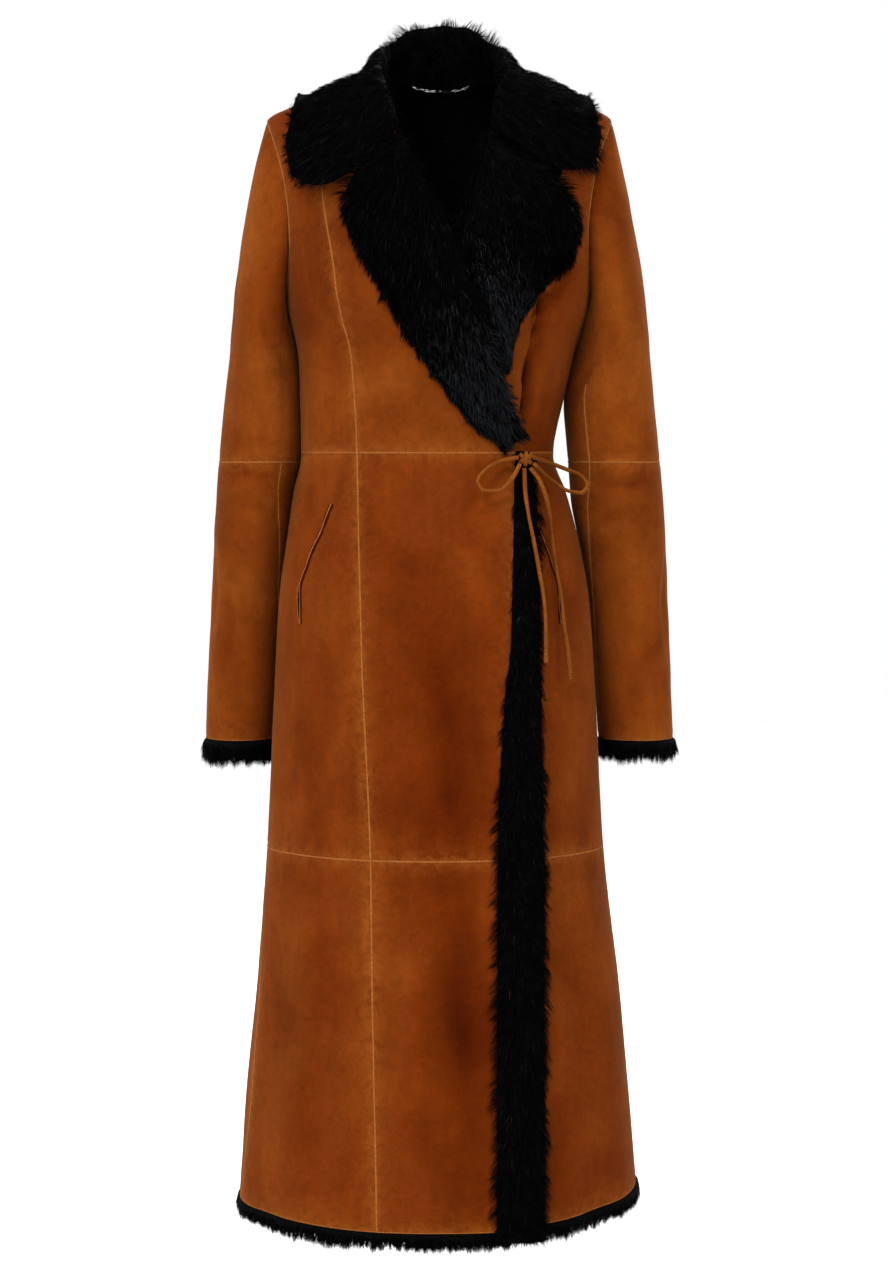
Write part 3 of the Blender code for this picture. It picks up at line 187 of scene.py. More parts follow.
# Soft troughs in the skirt: where each lies, how wide it is, how deep at the hem, and where it starts
TROUGHS = (  # angle, half_angle, depth, top_z
    (-58.0, 15.0, 0.0050, -0.62),
    (52.0, 16.0, 0.0060, -0.55),
    (118.0, 16.0, 0.0060, -0.60),
    (156.0, 15.0, 0.0050, -0.70),
    (204.0, 15.0, 0.0055, -0.66),
    (244.0, 16.0, 0.0060, -0.58),
)

# One drag fold across the left front, from the lapel's tip towards the lace
DRAG_FOLD = columns(
    "z x",
    (-0.150, 0.160),
    (-0.211, 0.136),
    (-0.276, 0.106),
    (-0.340, 0.095),
    (-0.480, 0.098),
)
DRAG_FOLD_HALF_WIDTH = 0.018
DRAG_FOLD_DEPTH = 0.005
DRAG_FOLD_BEGINS = (-0.15, -0.22)
DRAG_FOLD_ENDS = (-0.49, -0.43)

# Seam lines of the fronts, as the distance from the middle plane at each height
PRINCESS_TOP_X = 0.130
PRINCESS = columns(
    "z x",
    (0.004, 0.130),
    (-0.124, 0.127),
    (-0.206, 0.1153),
    (-0.261, 0.1060),
    (-0.310, 0.0940),
    (-0.4125, 0.0872),
    (-0.500, 0.0860),
    (-0.647, 0.0813),
    (-0.8415, 0.0726),
    (-1.000, 0.0700),
    (-1.230, 0.0657),
)
FRONT_EDGE = columns(
    "z right_x left_x",
    (0.004, -0.0740, 0.0740),
    (-0.030, -0.0600, 0.0620),
    (-0.070, -0.0450, 0.0540),
    (-0.107, -0.0300, 0.0470),
    (-0.1425, -0.0150, 0.0330),
    (-0.182, 0.0060, 0.0140),
    (-0.264, 0.0370, -0.0200),
    (-0.323, 0.0560, -0.0320),
    (-0.4125, 0.0727, -0.0360),
    (-1.230, 0.0727, -0.0360),
)
BACK_NECK_LINE_X = 0.080
RAISED_FROM_Z = -0.17  # from here up, the bodice's lines stretch to their own ends on the shoulder
SIDE_SEAM = columns(  # how far the side seams swing to the front, in degrees
    "z right_turn left_turn",
    (-0.8415, 0.0, 0.0),
    (-0.930, 8.0, 0.0),
    (-1.010, 14.0, 0.0),
    (-1.110, 17.0, 0.0),
    (-1.230, 10.0, 0.0),
)

# The right front lies on the left front, so it stands away from the body by this much
LAP_LIFT = 0.012
LAP_FROM_ANGLE, LAP_TO_ANGLE = -46.0, -12.0
LAP_FADE_Z = (-0.080, -0.140)

# How far the armholes cut into front and back, in degrees
ARMHOLE_CUT_FRONT, ARMHOLE_CUT_BACK = 23.0, 24.0

# Grid of the solids' walls
ARMHOLE_ROWS = 9
LAST_LEVEL = 2 - 1 / ARMHOLE_ROWS  # where the bodice's lines turn on to the shoulder seam
SKIRT_ROWS, LOWER_SKIRT_ROWS = 7, 5
SIDE_COLUMNS, CENTRE_COLUMNS = 5, 6
BACK_COLUMNS = (4, 4, 4, 4)

# Sleeves
SLEEVE = columns(  # the gaps are those between the sleeve and the body
    "z outer_x width half_depth centre_y right_gap left_gap",
    (-0.300, 0.2290, 0.0860, 0.064, 0.012, 0.0008, 0.0030),
    (-0.350, 0.2345, 0.1010, 0.063, 0.014, 0.0006, 0.0006),
    (-0.420, 0.2415, 0.1015, 0.060, 0.015, 0.0012, 0.0012),
    (-0.460, 0.2450, 0.1020, 0.057, 0.020, 0.0018, 0.0018),
    (-0.520, 0.2490, 0.0945, 0.054, 0.028, 0.0018, 0.0018),
    (-0.590, 0.2530, 0.0880, 0.051, 0.036, 0.0020, 0.0020),
    (-0.650, 0.2560, 0.0860, 0.050, 0.040, 0.0040, 0.0040),
    (-0.727, 0.2590, 0.0850, 0.050, 0.044, 0.0085, 0.0085),
)
RIGHT_WIDER = 0.003
SHARPNESS = 500  # of the passage from the sleeve's own width to where the body holds it out
CAP_LEAVES_OUTWARD, CAP_LEAVES_FORWARD = 0.19, 0.20  # the cap's slope at the armhole
CAP_LEAVES_WIDER = 0.09
CAP_ARRIVES_INWARD, CAP_ARRIVES_WIDER = 0.02, 0.08  # and at the first level ring
SLEEVE_SEAM = columns(  # angles round the sleeve: 0 outer, 90 front, 180 inner, 270 back
    "z front back",
    (-0.050, 140.0, 230.0),
    (-0.300, 128.0, 232.0),
    (-0.420, 126.0, 236.0),
    (-0.470, 134.0, 234.0),
    (-0.520, 146.0, 232.0),
    (-0.620, 160.0, 228.0),
    (-0.727, 168.0, 226.0),
)

# Collar: from the middle of the back (share 0) to the end of its seam on a front (share 1)
COLLAR = columns(
    "share edge_x edge_z sag stand lean pile",
    (0.00, 0.000, -0.082, 0.000, 0.081, 0.004, 0.020),
    (0.15, 0.043, -0.082, 0.000, 0.075, 0.006, 0.020),
    (0.30, 0.085, -0.080, 0.000, 0.056, 0.008, 0.019),
    (0.50, 0.136, -0.060, 0.000, 0.045, 0.014, 0.014),
    (0.62, 0.151, -0.031, 0.000, 0.041, 0.014, 0.011),
    (0.75, 0.155, -0.053, 0.000, 0.034, 0.012, 0.014),
    (0.88, 0.158, -0.080, 0.012, 0.026, 0.008, 0.018),
    (1.00, 0.155, -0.110, 0.038, 0.018, 0.004, 0.017),
)
COLLAR_SIDE_SHARE = 0.62  # where the collar passes the side of the neck
COLLAR_END_Z = -0.067
LEFT_WIDER, LEFT_THICKER = 0.009, 0.004
LEFT_WIDER_SHARES = (0.40, 0.75)
LEFT_CORNER_LIFT = 0.012
LEFT_SAG_SHARE = 0.7
LEAF_SEAT = 0.0055
COLLAR_LEAF = (  # share of the way to the leaf's edge, share of the pile's thickness
    (0.10, 0.9),
    (0.28, 1.0),
    (0.50, 1.0),
    (0.75, 0.9),
    (0.93, 0.62),
)
COLLAR_TIP_REACH = 0.45  # of the pile's thickness
COLLAR_LIFT = 0.0006
COLLAR_STAND = (  # behind the neck: share of the lean, inwards, share of the stand, up, off the edge
    (1.0, -0.020, 1.00, -0.013, 0.000),
    (1.0, -0.004, 1.00, 0.000, 0.000),
    (1.0, 0.010, 1.00, -0.016, 0.000),
    (0.5, 0.012, 0.35, 0.000, 0.000),
    (0.0, 0.009, 0.00, 0.000, 0.003),
)
COLLAR_ROLL = (  # on the fronts: 1 from the outer corner of the edge or 0 from the inner, off it, out
    (1, 0.002, 0.017),
    (1, 0.008, 0.010),
    (1, 0.009, 0.001),
    (0, 0.007, -0.002),
    (0, 0.002, -0.003),
)
NECK_CENTRE_Y = 0.012

# Lapels: for heights down the fold line, where the outer edge lies and how far the roll overhangs
LAPEL_ENDS = {"right": (-0.073, -0.398), "left": (-0.078, -0.315)}
LAPELS = {
    "right": columns(
        "fold_z edge_x edge_z overhang pile",
        (-0.073, -0.0960, -0.1330, 0.006, 0.016),
        (-0.100, -0.0960, -0.1530, 0.007, 0.018),
        (-0.150, -0.0790, -0.1950, 0.008, 0.019),
        (-0.196, -0.0520, -0.2420, 0.008, 0.019),
        (-0.245, -0.0275, -0.2890, 0.008, 0.018),
        (-0.300, -0.0030, -0.3290, 0.007, 0.016),
        (-0.350, 0.0260, -0.3740, 0.008, 0.013),
        (-0.398, 0.0610, -0.4060, 0.016, 0.008),
    ),
    "left": columns(
        "fold_z inner_x edge_x edge_z overhang pile",
        (-0.078, 0.0525, 0.1220, -0.1280, 0.006, 0.016),
        (-0.100, 0.0470, 0.1430, -0.1540, 0.006, 0.018),
        (-0.140, 0.0340, 0.1380, -0.1860, 0.006, 0.019),
        (-0.182, 0.0180, 0.1180, -0.2180, 0.002, 0.019),
        (-0.225, 0.0290, 0.0950, -0.2480, 0.000, 0.018),
        (-0.264, 0.0430, 0.0790, -0.2750, 0.000, 0.016),
        (-0.315, 0.0590, 0.0700, -0.3220, 0.000, 0.010),
    ),
}
LAPEL_ACROSS = (0.0, 0.14, 0.32, 0.52, 0.72, 0.9, 1.0)  # from the fold to the outer edge
LAPEL_HEIGHT = {  # how high the pile is there, as a share of its thickness
    "right": (0.55, 0.85, 1.0, 1.0, 0.92, 0.7, 0.35),
    "left": (0.20, 0.75, 1.0, 1.0, 0.92, 0.7, 0.35),
}
LAPEL_THIN, LAPEL_THICKEST = 0.004, 0.30  # the pile stays under LAPEL_THIN + LAPEL_THICKEST * width
LAPEL_TIP_REACH = 0.3  # of the pile's thickness
LAPEL_SEAT = {"right": 0.0024, "left": 0.0018}
LAPEL_GAP = {"right": 0.0008, "left": 0.001}
LAPEL_ROLL = {  # round the front's edge: share of the overhang, shares of thickness and wall
    "right": ((1.0, 0.25, 0.0), (0.6, 0.0, -0.7), (0.0, 0.0, -0.9), (0.0, 0.0, 0.0)),
    "left": ((1.0, 0.3, 0.0),),
}

# Pile beyond the right front's edge, from the lapel's point down to below the hem
EDGE_BAND_TOP = -0.4085
EDGE_BAND_LIP = 0.021
EDGE_BAND = columns(
    "z width lip",
    (-0.4085, 0.019, 0.000),
    (-0.4130, 0.021, 0.002),
    (-0.470, 0.030, 0.002),
    (-0.600, 0.034, 0.004),
    (-0.680, 0.035, 0.013),
    (-0.8415, 0.038, 0.021),
    (-1.252, 0.039, 0.021),
)
EDGE_BAND_SECTION = (  # share of the width, share of the lip, along the front, out of it
    (0.0, 0.0, 0.0006, -0.0050),
    (0.0, 0.0, 0.0006, 0.0010),
    (0.0, -1.0, 0.0, 0.0010),
    (0.0, -0.7, 0.0, 0.0045),
    (0.2, 0.0, 0.0, 0.0080),
    (0.6, 0.0, 0.0, 0.0080),
    (0.9, 0.0, 0.0, 0.0045),
    (1.0, 0.0, 0.0, -0.0010),
    (0.8, 0.0, 0.0, -0.0065),
    (0.3, 0.0, 0.0, -0.0080),
)

# Pile below the hem and the cuffs: how far out of the skin's outer face and how far below its edge
HEM_DEPTH = 0.0215
HANGING_SECTION = (  # out, down at the hem, down at a cuff
    (-0.0050, 0.0004, 0.0004),
    (0.0000, 0.0004, 0.0004),
    (0.0035, 0.0050, 0.0060),
    (0.0040, 0.0150, 0.0200),
    (0.0000, HEM_DEPTH, 0.0290),
    (-0.0080, HEM_DEPTH, 0.0290),
    (-0.0110, 0.0120, 0.0160),
    (-0.0090, 0.0030, 0.0040),
)
HEM_LAST_SHARE = 0.93  # how far the right front's last stretch reaches towards the edge
HEM_THINNER_ON_LAP = 0.45
HEM_END_GAP = 0.10  # degrees between neighbouring pieces
UNDER_LAP = (36.0, 28.0)
HEM_THINNER_UNDER_LAP = 0.8
CUFF_PILE_LENGTH = {"right": 1.05, "left": 0.88}

# Pockets: a welt along a slanted slit in each front
POCKET_TOP, POCKET_END = -0.4645, -0.5940
POCKET = columns(
    "z right_x left_x",
    (-0.4645, -0.1170, 0.0930),
    (-0.4945, -0.1300, 0.1060),
    (-0.5280, -0.1435, 0.1195),
    (-0.5610, -0.1520, 0.1280),
    (-0.5940, -0.1520, 0.1290),
)
WELT_WIDTH = 0.006
WELT_HEIGHT = 0.0020
WELT_SEAT = 0.0005

# The lace: a flat bow in front of the waist
LACE_DIAMETER = 0.0046
KNOT_SIZE = (0.0140, 0.0110, 0.0120)
KNOT_X, KNOT_Z = 0.0900, -0.4165
LACE_SEAT = 0.0007
LACE_SIDE_X = 0.125  # past this the lace hangs in front of the coat's side
EDGE_PILE_TOP = 0.0085  # how far the pile at the edge stands out of the front
EDGE_PILE_MARGIN = (0.012, 0.004)
# The lace's stretches: for each point x, how far in front of the coat, and z
LACE_PATHS = {
    "loop_right": (
        (0.0822, 0.0030, -0.4150), (0.0640, 0.0090, -0.4190), (0.0460, 0.0130, -0.4290),
        (0.0385, 0.0150, -0.4400), (0.0460, 0.0150, -0.4500), (0.0600, 0.0130, -0.4500),
        (0.0750, 0.0090, -0.4370), (0.0838, 0.0050, -0.4225),
    ),
    "loop_left": (
        (0.0978, 0.0030, -0.4148), (0.1170, 0.0100, -0.4210), (0.1360, 0.0220, -0.4280),
        (0.1520, 0.0340, -0.4360), (0.1570, 0.0380, -0.4450), (0.1500, 0.0360, -0.4530),
        (0.1370, 0.0290, -0.4510), (0.1200, 0.0190, -0.4400), (0.0995, 0.0120, -0.4225),
    ),
    "end_right": (
        (0.0885, 0.0016, -0.4265), (0.0890, 0.0006, -0.4450), (0.0930, 0.0006, -0.4760),
        (0.0985, 0.0010, -0.5040), (0.1045, 0.0015, -0.5370), (0.1090, 0.0030, -0.5640),
        (0.1110, 0.0035, -0.5900), (0.1115, 0.0035, -0.6320),
    ),
    "end_left": (
        (0.0950, 0.0045, -0.4260), (0.1050, 0.0060, -0.4400), (0.1130, 0.0060, -0.4620),
        (0.1190, 0.0060, -0.5000), (0.1240, 0.0060, -0.5360), (0.1290, 0.0060, -0.5640),
        (0.1320, 0.0060, -0.5950), (0.1360, 0.0050, -0.6230), (0.1385, 0.0050, -0.6520),
    ),
}

# The hanger's chain, sewn on inside the back of the neck
HANGER_HALF = 0.031
HANGER_BACK_Y = 0.0500
HANGER_FORWARD = 0.006
HANGER_Z = -0.0045
HANGER_SAG = 0.0075
HANGER_DIAMETER = 0.0028


def trough_depth(angle, z):
    """How far the skirt is drawn in by its soft vertical folds."""
    depth = np.zeros_like(angle)
    for centre, half_angle, most, top_z in TROUGHS:
        off = (angle - centre + 180) % 360 - 180
        depth = depth + most * hump(off / half_angle) * smoothstep(z, top_z, HEM_Z)
    return depth


def drag_fold_depth(x, z):
    across = hump((x - DRAG_FOLD["x"](z)) / DRAG_FOLD_HALF_WIDTH)
    return DRAG_FOLD_DEPTH * across * smoothstep(z, *DRAG_FOLD_BEGINS) * smoothstep(z, *DRAG_FOLD_ENDS)


def body(angle, z):
    """The outer face of the coat's body, before any lap."""
    angle, z = np.broadcast_arrays(np.asarray(angle, float), np.asarray(z, float))
    turn = np.radians(angle)
    sine, cosine = np.sin(turn), np.cos(turn)
    power = 2 / BODY_SQUARENESS
    depth = np.where(cosine > 0, BODY["front"](z), BODY["back"](z))
    trough = trough_depth(angle, z)
    x = BODY["centre_x"](z) + (BODY["half_width"](z) - trough) * signed_power(sine, power)
    y = -(depth - trough) * signed_power(cosine, power)
    y = y + np.where(cosine > 0, drag_fold_depth(x, z), 0)
    return np.stack([x, y, z], axis=-1)


NORMAL_STEP_ANGLE, NORMAL_STEP_Z = 0.4, 0.0015


def normal_of(surface, angle, z):
    """The outward normal of a surface given by angle and height."""
    along_angle = surface(angle + NORMAL_STEP_ANGLE, z) - surface(angle - NORMAL_STEP_ANGLE, z)
    along_z = surface(angle, z + NORMAL_STEP_Z) - surface(angle, z - NORMAL_STEP_Z)
    return unit(np.cross(along_angle, along_z))


def lapped(angle, z):
    """The outer face of the right front, which lies over the left one."""
    angle, z = np.broadcast_arrays(np.asarray(angle, float), np.asarray(z, float))
    lift = LAP_LIFT * smoothstep(angle, LAP_FROM_ANGLE, LAP_TO_ANGLE) * smoothstep(z, *LAP_FADE_Z)
    return body(angle, z) + normal_of(body, angle, z) * lift[..., None]


FACES = {-1: lapped, 1: body}  # the outer face of each front


def angle_at(x, z):
    """The angle at which the front of the body is x to the wearer's left."""
    share = np.clip((x - BODY["centre_x"](z)) / BODY["half_width"](z), -1, 1)
    return np.degrees(np.arcsin(signed_power(share, BODY_SQUARENESS / 2)))


# ---------------------------------------------------------------- the lines of the cut
# A bodice line is followed by level: 0 waist, 1 armpit, 2 shoulder. The skirt's go by height. Of the
# lines named _side and _behind, the first is the side seam and armhole of a front, the other the back's.

BACK_LINES = ("left_behind", "left_back", "back_middle", "right_back", "right_behind")
SHOULDER_SAMPLES = 200  # heights among which a princess line's top is looked up


def line_angle(line, side, z):
    """The angle of a line at the heights z: side, princess, edge or back."""
    if line == "side":
        return side * (90 - SIDE_SEAM[NAMES[side] + "_turn"](z))
    if line == "back":
        return side * (180 - np.abs(angle_at(BACK_NECK_LINE_X, z)))
    x = side * PRINCESS["x"](z) if line == "princess" else FRONT_EDGE[NAMES[side] + "_x"](z)
    return angle_at(x, z)


def armhole(side, turn):
    """(angle, z) on the body of the armhole's edge. turn: 0 shoulder tip, 90 front, 180 armpit, 270 back."""
    turn = np.radians(np.asarray(turn, float))
    middle = (ARMPIT_Z + SHOULDER_TIP_Z) / 2
    z = middle + (SHOULDER_TIP_Z - ARMPIT_Z) / 2 * np.cos(turn)
    cut = np.where(np.sin(turn) > 0, ARMHOLE_CUT_FRONT, ARMHOLE_CUT_BACK)
    return side * (90 - cut * np.sin(turn)), z


def bodice_side(side, facing, level):
    """The side seam and then the armhole's edge, up to the shoulder tip. facing: 1 front, -1 back."""
    below = blend(WAIST_Z, ARMPIT_Z, np.clip(level, 0, 1))
    angle, z = armhole(side, 180 * (2 - np.clip(level, 1, 2)) * facing)
    return np.where(level < 1, line_angle("side", side, below), angle), np.where(level < 1, below, z)


def raised(z, top_z):
    """The heights of a bodice line that ends at top_z instead of at the shoulder tip."""
    return z + (top_z - SHOULDER_TIP_Z) * smoothstep(z, RAISED_FROM_Z, SHOULDER_TIP_Z)


def bodice_line(line, side, level):
    """A line up the bodice. Its last piece turns on to the shoulder seam, at the body's side."""
    top_z = 0.0
    if line == "princess":
        heights = np.linspace(SHOULDER_TIP_Z, 0.0, SHOULDER_SAMPLES)
        top_z = float(np.interp(-PRINCESS_TOP_X, -BODY["half_width"](heights), heights))
    z = raised(bodice_side(side, 1, level)[1], top_z)
    knee_z = raised(bodice_side(side, 1, np.array(LAST_LEVEL))[1], top_z)
    last = np.clip((level - LAST_LEVEL) / (2 - LAST_LEVEL), 0, 1)
    angle = line_angle(line, side, np.where(last > 0, knee_z, z))
    return blend(angle, side * 90.0, last), z


def bodice_lines(level):
    """Every line of the bodice, by name."""
    middle = raised(bodice_side(1, -1, level)[1], NAPE_Z)
    lines = {"back_middle": (np.full_like(middle, 180.0), middle)}
    for name, side in SIDES.items():
        lines[name + "_side"] = bodice_side(side, 1, level)
        lines[name + "_behind"] = bodice_side(side, -1, level)
        for line in ("princess", "edge", "back"):
            lines[f"{name}_{line}"] = bodice_line(line, side, level)
    return lines


def skirt_lines(z):
    """Every line of the skirt, by name."""
    lines = {"back_middle": (np.full_like(z, 180.0), z)}
    for name, side in SIDES.items():
        for line in ("side", "princess", "edge", "back"):
            lines[f"{name}_{line}"] = (line_angle(line, side, z), z)
    higher = z + LEFT_HEM_RISE * smoothstep(z, KNEE_Z, HEM_Z)
    lines["left_side"] = (lines["left_side"][0], higher)
    return {**lines, "left_behind": lines["left_side"], "right_behind": lines["right_side"]}


def grid_between(lines, counts):
    """(angles, heights) of a grid whose columns lie between the lines, one row for each point of a line."""
    angles, heights = [lines[0][0]], [lines[0][1]]
    for (a0, z0), (a1, z1), count in zip(lines[:-1], lines[1:], counts):
        for i in range(1, count + 1):
            angles.append(blend(a0, a1, i / count))
            heights.append(blend(z0, z1, i / count))
    return np.array(angles).T, np.array(heights).T


def back_lines(lines):
    """The lines of the back from the left round to the right, with angles up to 360."""
    return [(lines[name][0] % 360, lines[name][1]) for name in BACK_LINES]


# ---------------------------------------------------------------- sleeves

SIDE_SHARE_LIMIT = 0.99  # how far towards its front and back the body's side is followed
BEFORE_ARMHOLE, PAST_CUFF = -0.02, 1.2  # how far the sleeve's two parts go on past their ends
SLEEVE_STEP_TURN, SLEEVE_STEP_ALONG = 0.5, 0.01  # for its normals
UNDER_TURNS = (140, 220)  # the under piece at the armhole
LEAST_MITER = 0.5


def body_side_x(side, y, z):
    """How far the body reaches to this side at depth y."""
    depth = np.where(y > 0, BODY["back"](z), BODY["front"](z))
    share = np.clip(np.abs(y) / depth, 0, SIDE_SHARE_LIMIT)
    reach = BODY["half_width"](z) * (1 - share ** BODY_SQUARENESS) ** (1 / BODY_SQUARENESS)
    return reach + side * BODY["centre_x"](z)


def sleeve_ring(side, turn, z):
    """The sleeve's outer face below the armpit. turn: 0 outer, 90 front, 180 inner, 270 back."""
    outer = SLEEVE["outer_x"](z) + (RIGHT_WIDER if side < 0 else 0)
    centre_y, half_depth = SLEEVE["centre_y"](z), SLEEVE["half_depth"](z)
    free_inner = outer - SLEEVE["width"](z)
    held_inner = body_side_x(side, centre_y, z) + SLEEVE[NAMES[side] + "_gap"](z)
    inner = np.logaddexp(free_inner * SHARPNESS, held_inner * SHARPNESS) / SHARPNESS
    centre, half_width = (outer + inner) / 2, (outer - inner) / 2
    turn = np.radians(turn)
    x = side * (centre + half_width * np.cos(turn))
    return np.stack(np.broadcast_arrays(x, centre_y - half_depth * np.sin(turn), z), axis=-1)


def sleeve_cap(side, turn, share):
    """The sleeve's outer face from the armhole (share 0) to its first level ring (share 1)."""
    t = share[..., None]
    first = body(*armhole(side, turn))
    last = sleeve_ring(side, turn, SLEEVE_TOP_Z)
    length = np.linalg.norm(last - first, axis=-1, keepdims=True)
    sine, cosine = np.sin(np.radians(turn)), np.cos(np.radians(turn))
    outward = side * (CAP_LEAVES_OUTWARD + CAP_LEAVES_WIDER * cosine)
    down = -np.ones_like(turn)
    leave = unit(np.stack([outward, -CAP_LEAVES_FORWARD * sine, down], axis=-1))
    outward = side * (CAP_ARRIVES_WIDER * cosine - CAP_ARRIVES_INWARD)
    arrive = unit(np.stack([outward, 0 * turn, down], axis=-1))
    t2, t3 = t**2, t**3
    return (
        (2 * t3 - 3 * t2 + 1) * first + (t3 - 2 * t2 + t) * leave * length
        + (3 * t2 - 2 * t3) * last + (t3 - t2) * arrive * length
    )


def sleeve(side, turn, along):
    """The sleeve's outer face. along: 0 armhole, 1 first level ring, 2 cuff."""
    turn, along = np.broadcast_arrays(np.asarray(turn, float), np.asarray(along, float))
    z = blend(SLEEVE_TOP_Z, CUFF_Z, np.clip(along - 1, 0, PAST_CUFF))
    cap = sleeve_cap(side, turn, np.clip(along, BEFORE_ARMHOLE, 1))
    return np.where((along < 1)[..., None], cap, sleeve_ring(side, turn, z))


def sleeve_normal(side, turn, along):
    """The outward normal of the sleeve's outer face."""
    turn, along = np.broadcast_arrays(np.asarray(turn, float), np.asarray(along, float))
    around = sleeve(side, turn + SLEEVE_STEP_TURN, along) - sleeve(side, turn - SLEEVE_STEP_TURN, along)
    before = np.maximum(along - SLEEVE_STEP_ALONG, 0)
    down = sleeve(side, turn, along + SLEEVE_STEP_ALONG) - sleeve(side, turn, before)
    return unit(np.cross(around, down)) * side


def sleeve_turns(z, under, count):
    """A row of angles at each height, from seam to seam."""
    first, last = UNDER_TURNS
    at_armhole = np.linspace(first, last, count) if under else np.linspace(last - 360, first, count)
    low, high = SLEEVE_SEAM["front"](z), SLEEVE_SEAM["back"](z)
    if not under:
        low, high = high - 360, low
    share = (at_armhole - at_armhole[0]) / (at_armhole[-1] - at_armhole[0])
    even = low[:, None] + (high - low)[:, None] * share
    settle = smoothstep(z, SHOULDER_TIP_Z, SLEEVE_TOP_Z)[:, None]
    return blend(np.broadcast_to(at_armhole, even.shape), even, settle)


def armhole_miter(side, turn):
    """Where the inner faces of body and sleeve meet, WALL under both at the armhole's edge."""
    angle, z = armhole(side, turn)
    body_way = normal_of(body, angle, z)
    sleeve_way = sleeve_normal(side, turn, 0.0)
    spread = 1 + np.sum(body_way * sleeve_way, axis=-1, keepdims=True)
    return body(angle, z) - WALL * (body_way + sleeve_way) / np.maximum(spread, LEAST_MITER)


# ---------------------------------------------------------------- the front edge and the coat behind the lace


def edge_frame(z):
    """The right front's edge at z, the way that the front runs past it, and the way out of the front.

    The edge lies where the solids' walls have it: between the corners of their grid.
    """
    grids = []
    for top, bottom, rows in ((KNEE_Z, HEM_Z, LOWER_SKIRT_ROWS), (WAIST_Z, KNEE_Z, SKIRT_ROWS)):
        lines = skirt_lines(np.linspace(bottom, top, rows + 1))
        grids.append(lapped(*grid_between([lines["right_princess"], lines["right_edge"]], [CENTRE_COLUMNS])))
    grid = np.concatenate([grids[0], grids[1][1:]])[::-1]
    edge, inside = [between(-z, -line[:, 2], line) for line in (grid[:, -1], grid[:, -2])]
    edge[..., 2] = inside[..., 2] = z
    along = unit(edge - inside)
    return edge, along, np.stack([along[..., 1], -along[..., 0], 0 * along[..., 0]], axis=-1)


def coat_front_y(x, z):
    """The y of the coat's frontmost face at a place near the lace, the pile at the edge included."""
    y = body(angle_at(min(x, LACE_SIDE_X), z), z)[1]
    edge, along, out = edge_frame(z)
    top = edge + out * EDGE_PILE_TOP
    before, after = EDGE_PILE_MARGIN
    if top[0] - before < x < top[0] + EDGE_BAND["width"](z) + after:
        y = min(y, top[1] + along[1] / along[0] * (x - top[0]))
    if x < top[0]:
        y = min(y, lapped(angle_at(x, z), z)[1])
    return y


# ================================================================ tools of this script

# Angles in degrees past which an edge is sharp
CUT_SHARP, CLOTH_SHARP, LACE_SHARP, KNOT_SHARP, LINK_SHARP = 50, 60, 60, 70, 80
NONE_SHARP = 180

NOISE_PRIMES = (73856093, 19349663, 83492791)
NOISE_SEED_PRIME, NOISE_MIXER = 2654435, 1274126177
NOISE_SEED_SHIFT = 0.37
LOW_31_BITS, LOW_16_BITS = 0x7FFFFFFF, 0xFFFF


def soft_noise(points, size, seed=0):
    """Smooth noise from -1 to 1 whose blobs are about size across."""
    spot = np.asarray(points) / size + NOISE_SEED_SHIFT * seed
    cell = np.floor(spot).astype(np.int64)
    part = spot - cell
    part = part * part * (3 - 2 * part)
    total = 0.0
    for corner in range(8):
        step = np.array([corner & 1, corner >> 1 & 1, corner >> 2 & 1])
        x, y, z = np.moveaxis((cell + step) * NOISE_PRIMES, -1, 0)
        mixed = (x ^ y ^ z ^ seed * NOISE_SEED_PRIME) & LOW_31_BITS
        mixed = (mixed ^ (mixed >> 13)) * NOISE_MIXER & LOW_31_BITS
        mixed = (mixed ^ (mixed >> 15)) & LOW_16_BITS
        weight = np.prod(np.where(step, part, 1 - part), axis=-1)
        total = total + weight * (mixed / (LOW_16_BITS / 2) - 1)
    return total


def mesh_object(name, points, faces, materials, slots=None, sharp=None, **fields):
    """A mesh from an array of points and a list of face arrays, one slot number or array for each."""
    loops = np.concatenate([f.ravel() for f in faces])
    sizes = np.concatenate([np.full(len(f), f.shape[1]) for f in faces])
    index = np.concatenate([np.broadcast_to(s, len(f)) for s, f in zip(slots or [0] * len(faces), faces)])
    mesh = bpy.data.meshes.new(name)
    mesh.vertices.add(len(points))
    mesh.vertices.foreach_set("co", np.asarray(points, np.float32).ravel())
    mesh.loops.add(len(loops))
    mesh.loops.foreach_set("vertex_index", loops.astype(np.int32))
    mesh.polygons.add(len(sizes))
    mesh.polygons.foreach_set("loop_start", np.concatenate([[0], np.cumsum(sizes)[:-1]]).astype(np.int32))
    for made in materials:
        mesh.materials.append(made)
    mesh.polygons.foreach_set("material_index", index.astype(np.int32))
    mesh.polygons.foreach_set("use_smooth", np.full(len(sizes), True))
    for field, values in fields.items():
        layer = mesh.attributes.new(field, "FLOAT", "POINT")
        layer.data.foreach_set("value", np.asarray(values, np.float32))
    mesh.update(calc_edges=True)
    mesh.validate()
    if sharp is not None:
        mesh.set_sharp_from_angle(angle=math.radians(sharp))
    obj = bpy.data.objects.new(name, mesh)
    bpy.context.scene.collection.objects.link(obj)
    return obj


def wear(obj, slot, *nodes):
    """The piece rides on the coat and stands for the nodes. slot is not used."""
    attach(obj, "root")
    if nodes:
        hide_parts(*nodes)
    return obj


def joined_piece(name, parts, finish, sharp, slot, *nodes):
    """One worn piece from several (points, faces)."""
    points, by_size, start = [], {}, 0
    for own, faces in parts:
        points.append(own)
        for f in faces:
            by_size.setdefault(f.shape[1], []).append(f + start)
        start += len(own)
    faces = [np.concatenate(f) for f in by_size.values()]
    return wear(mesh_object(name, np.concatenate(points), faces, [finish], sharp=sharp), slot, *nodes)


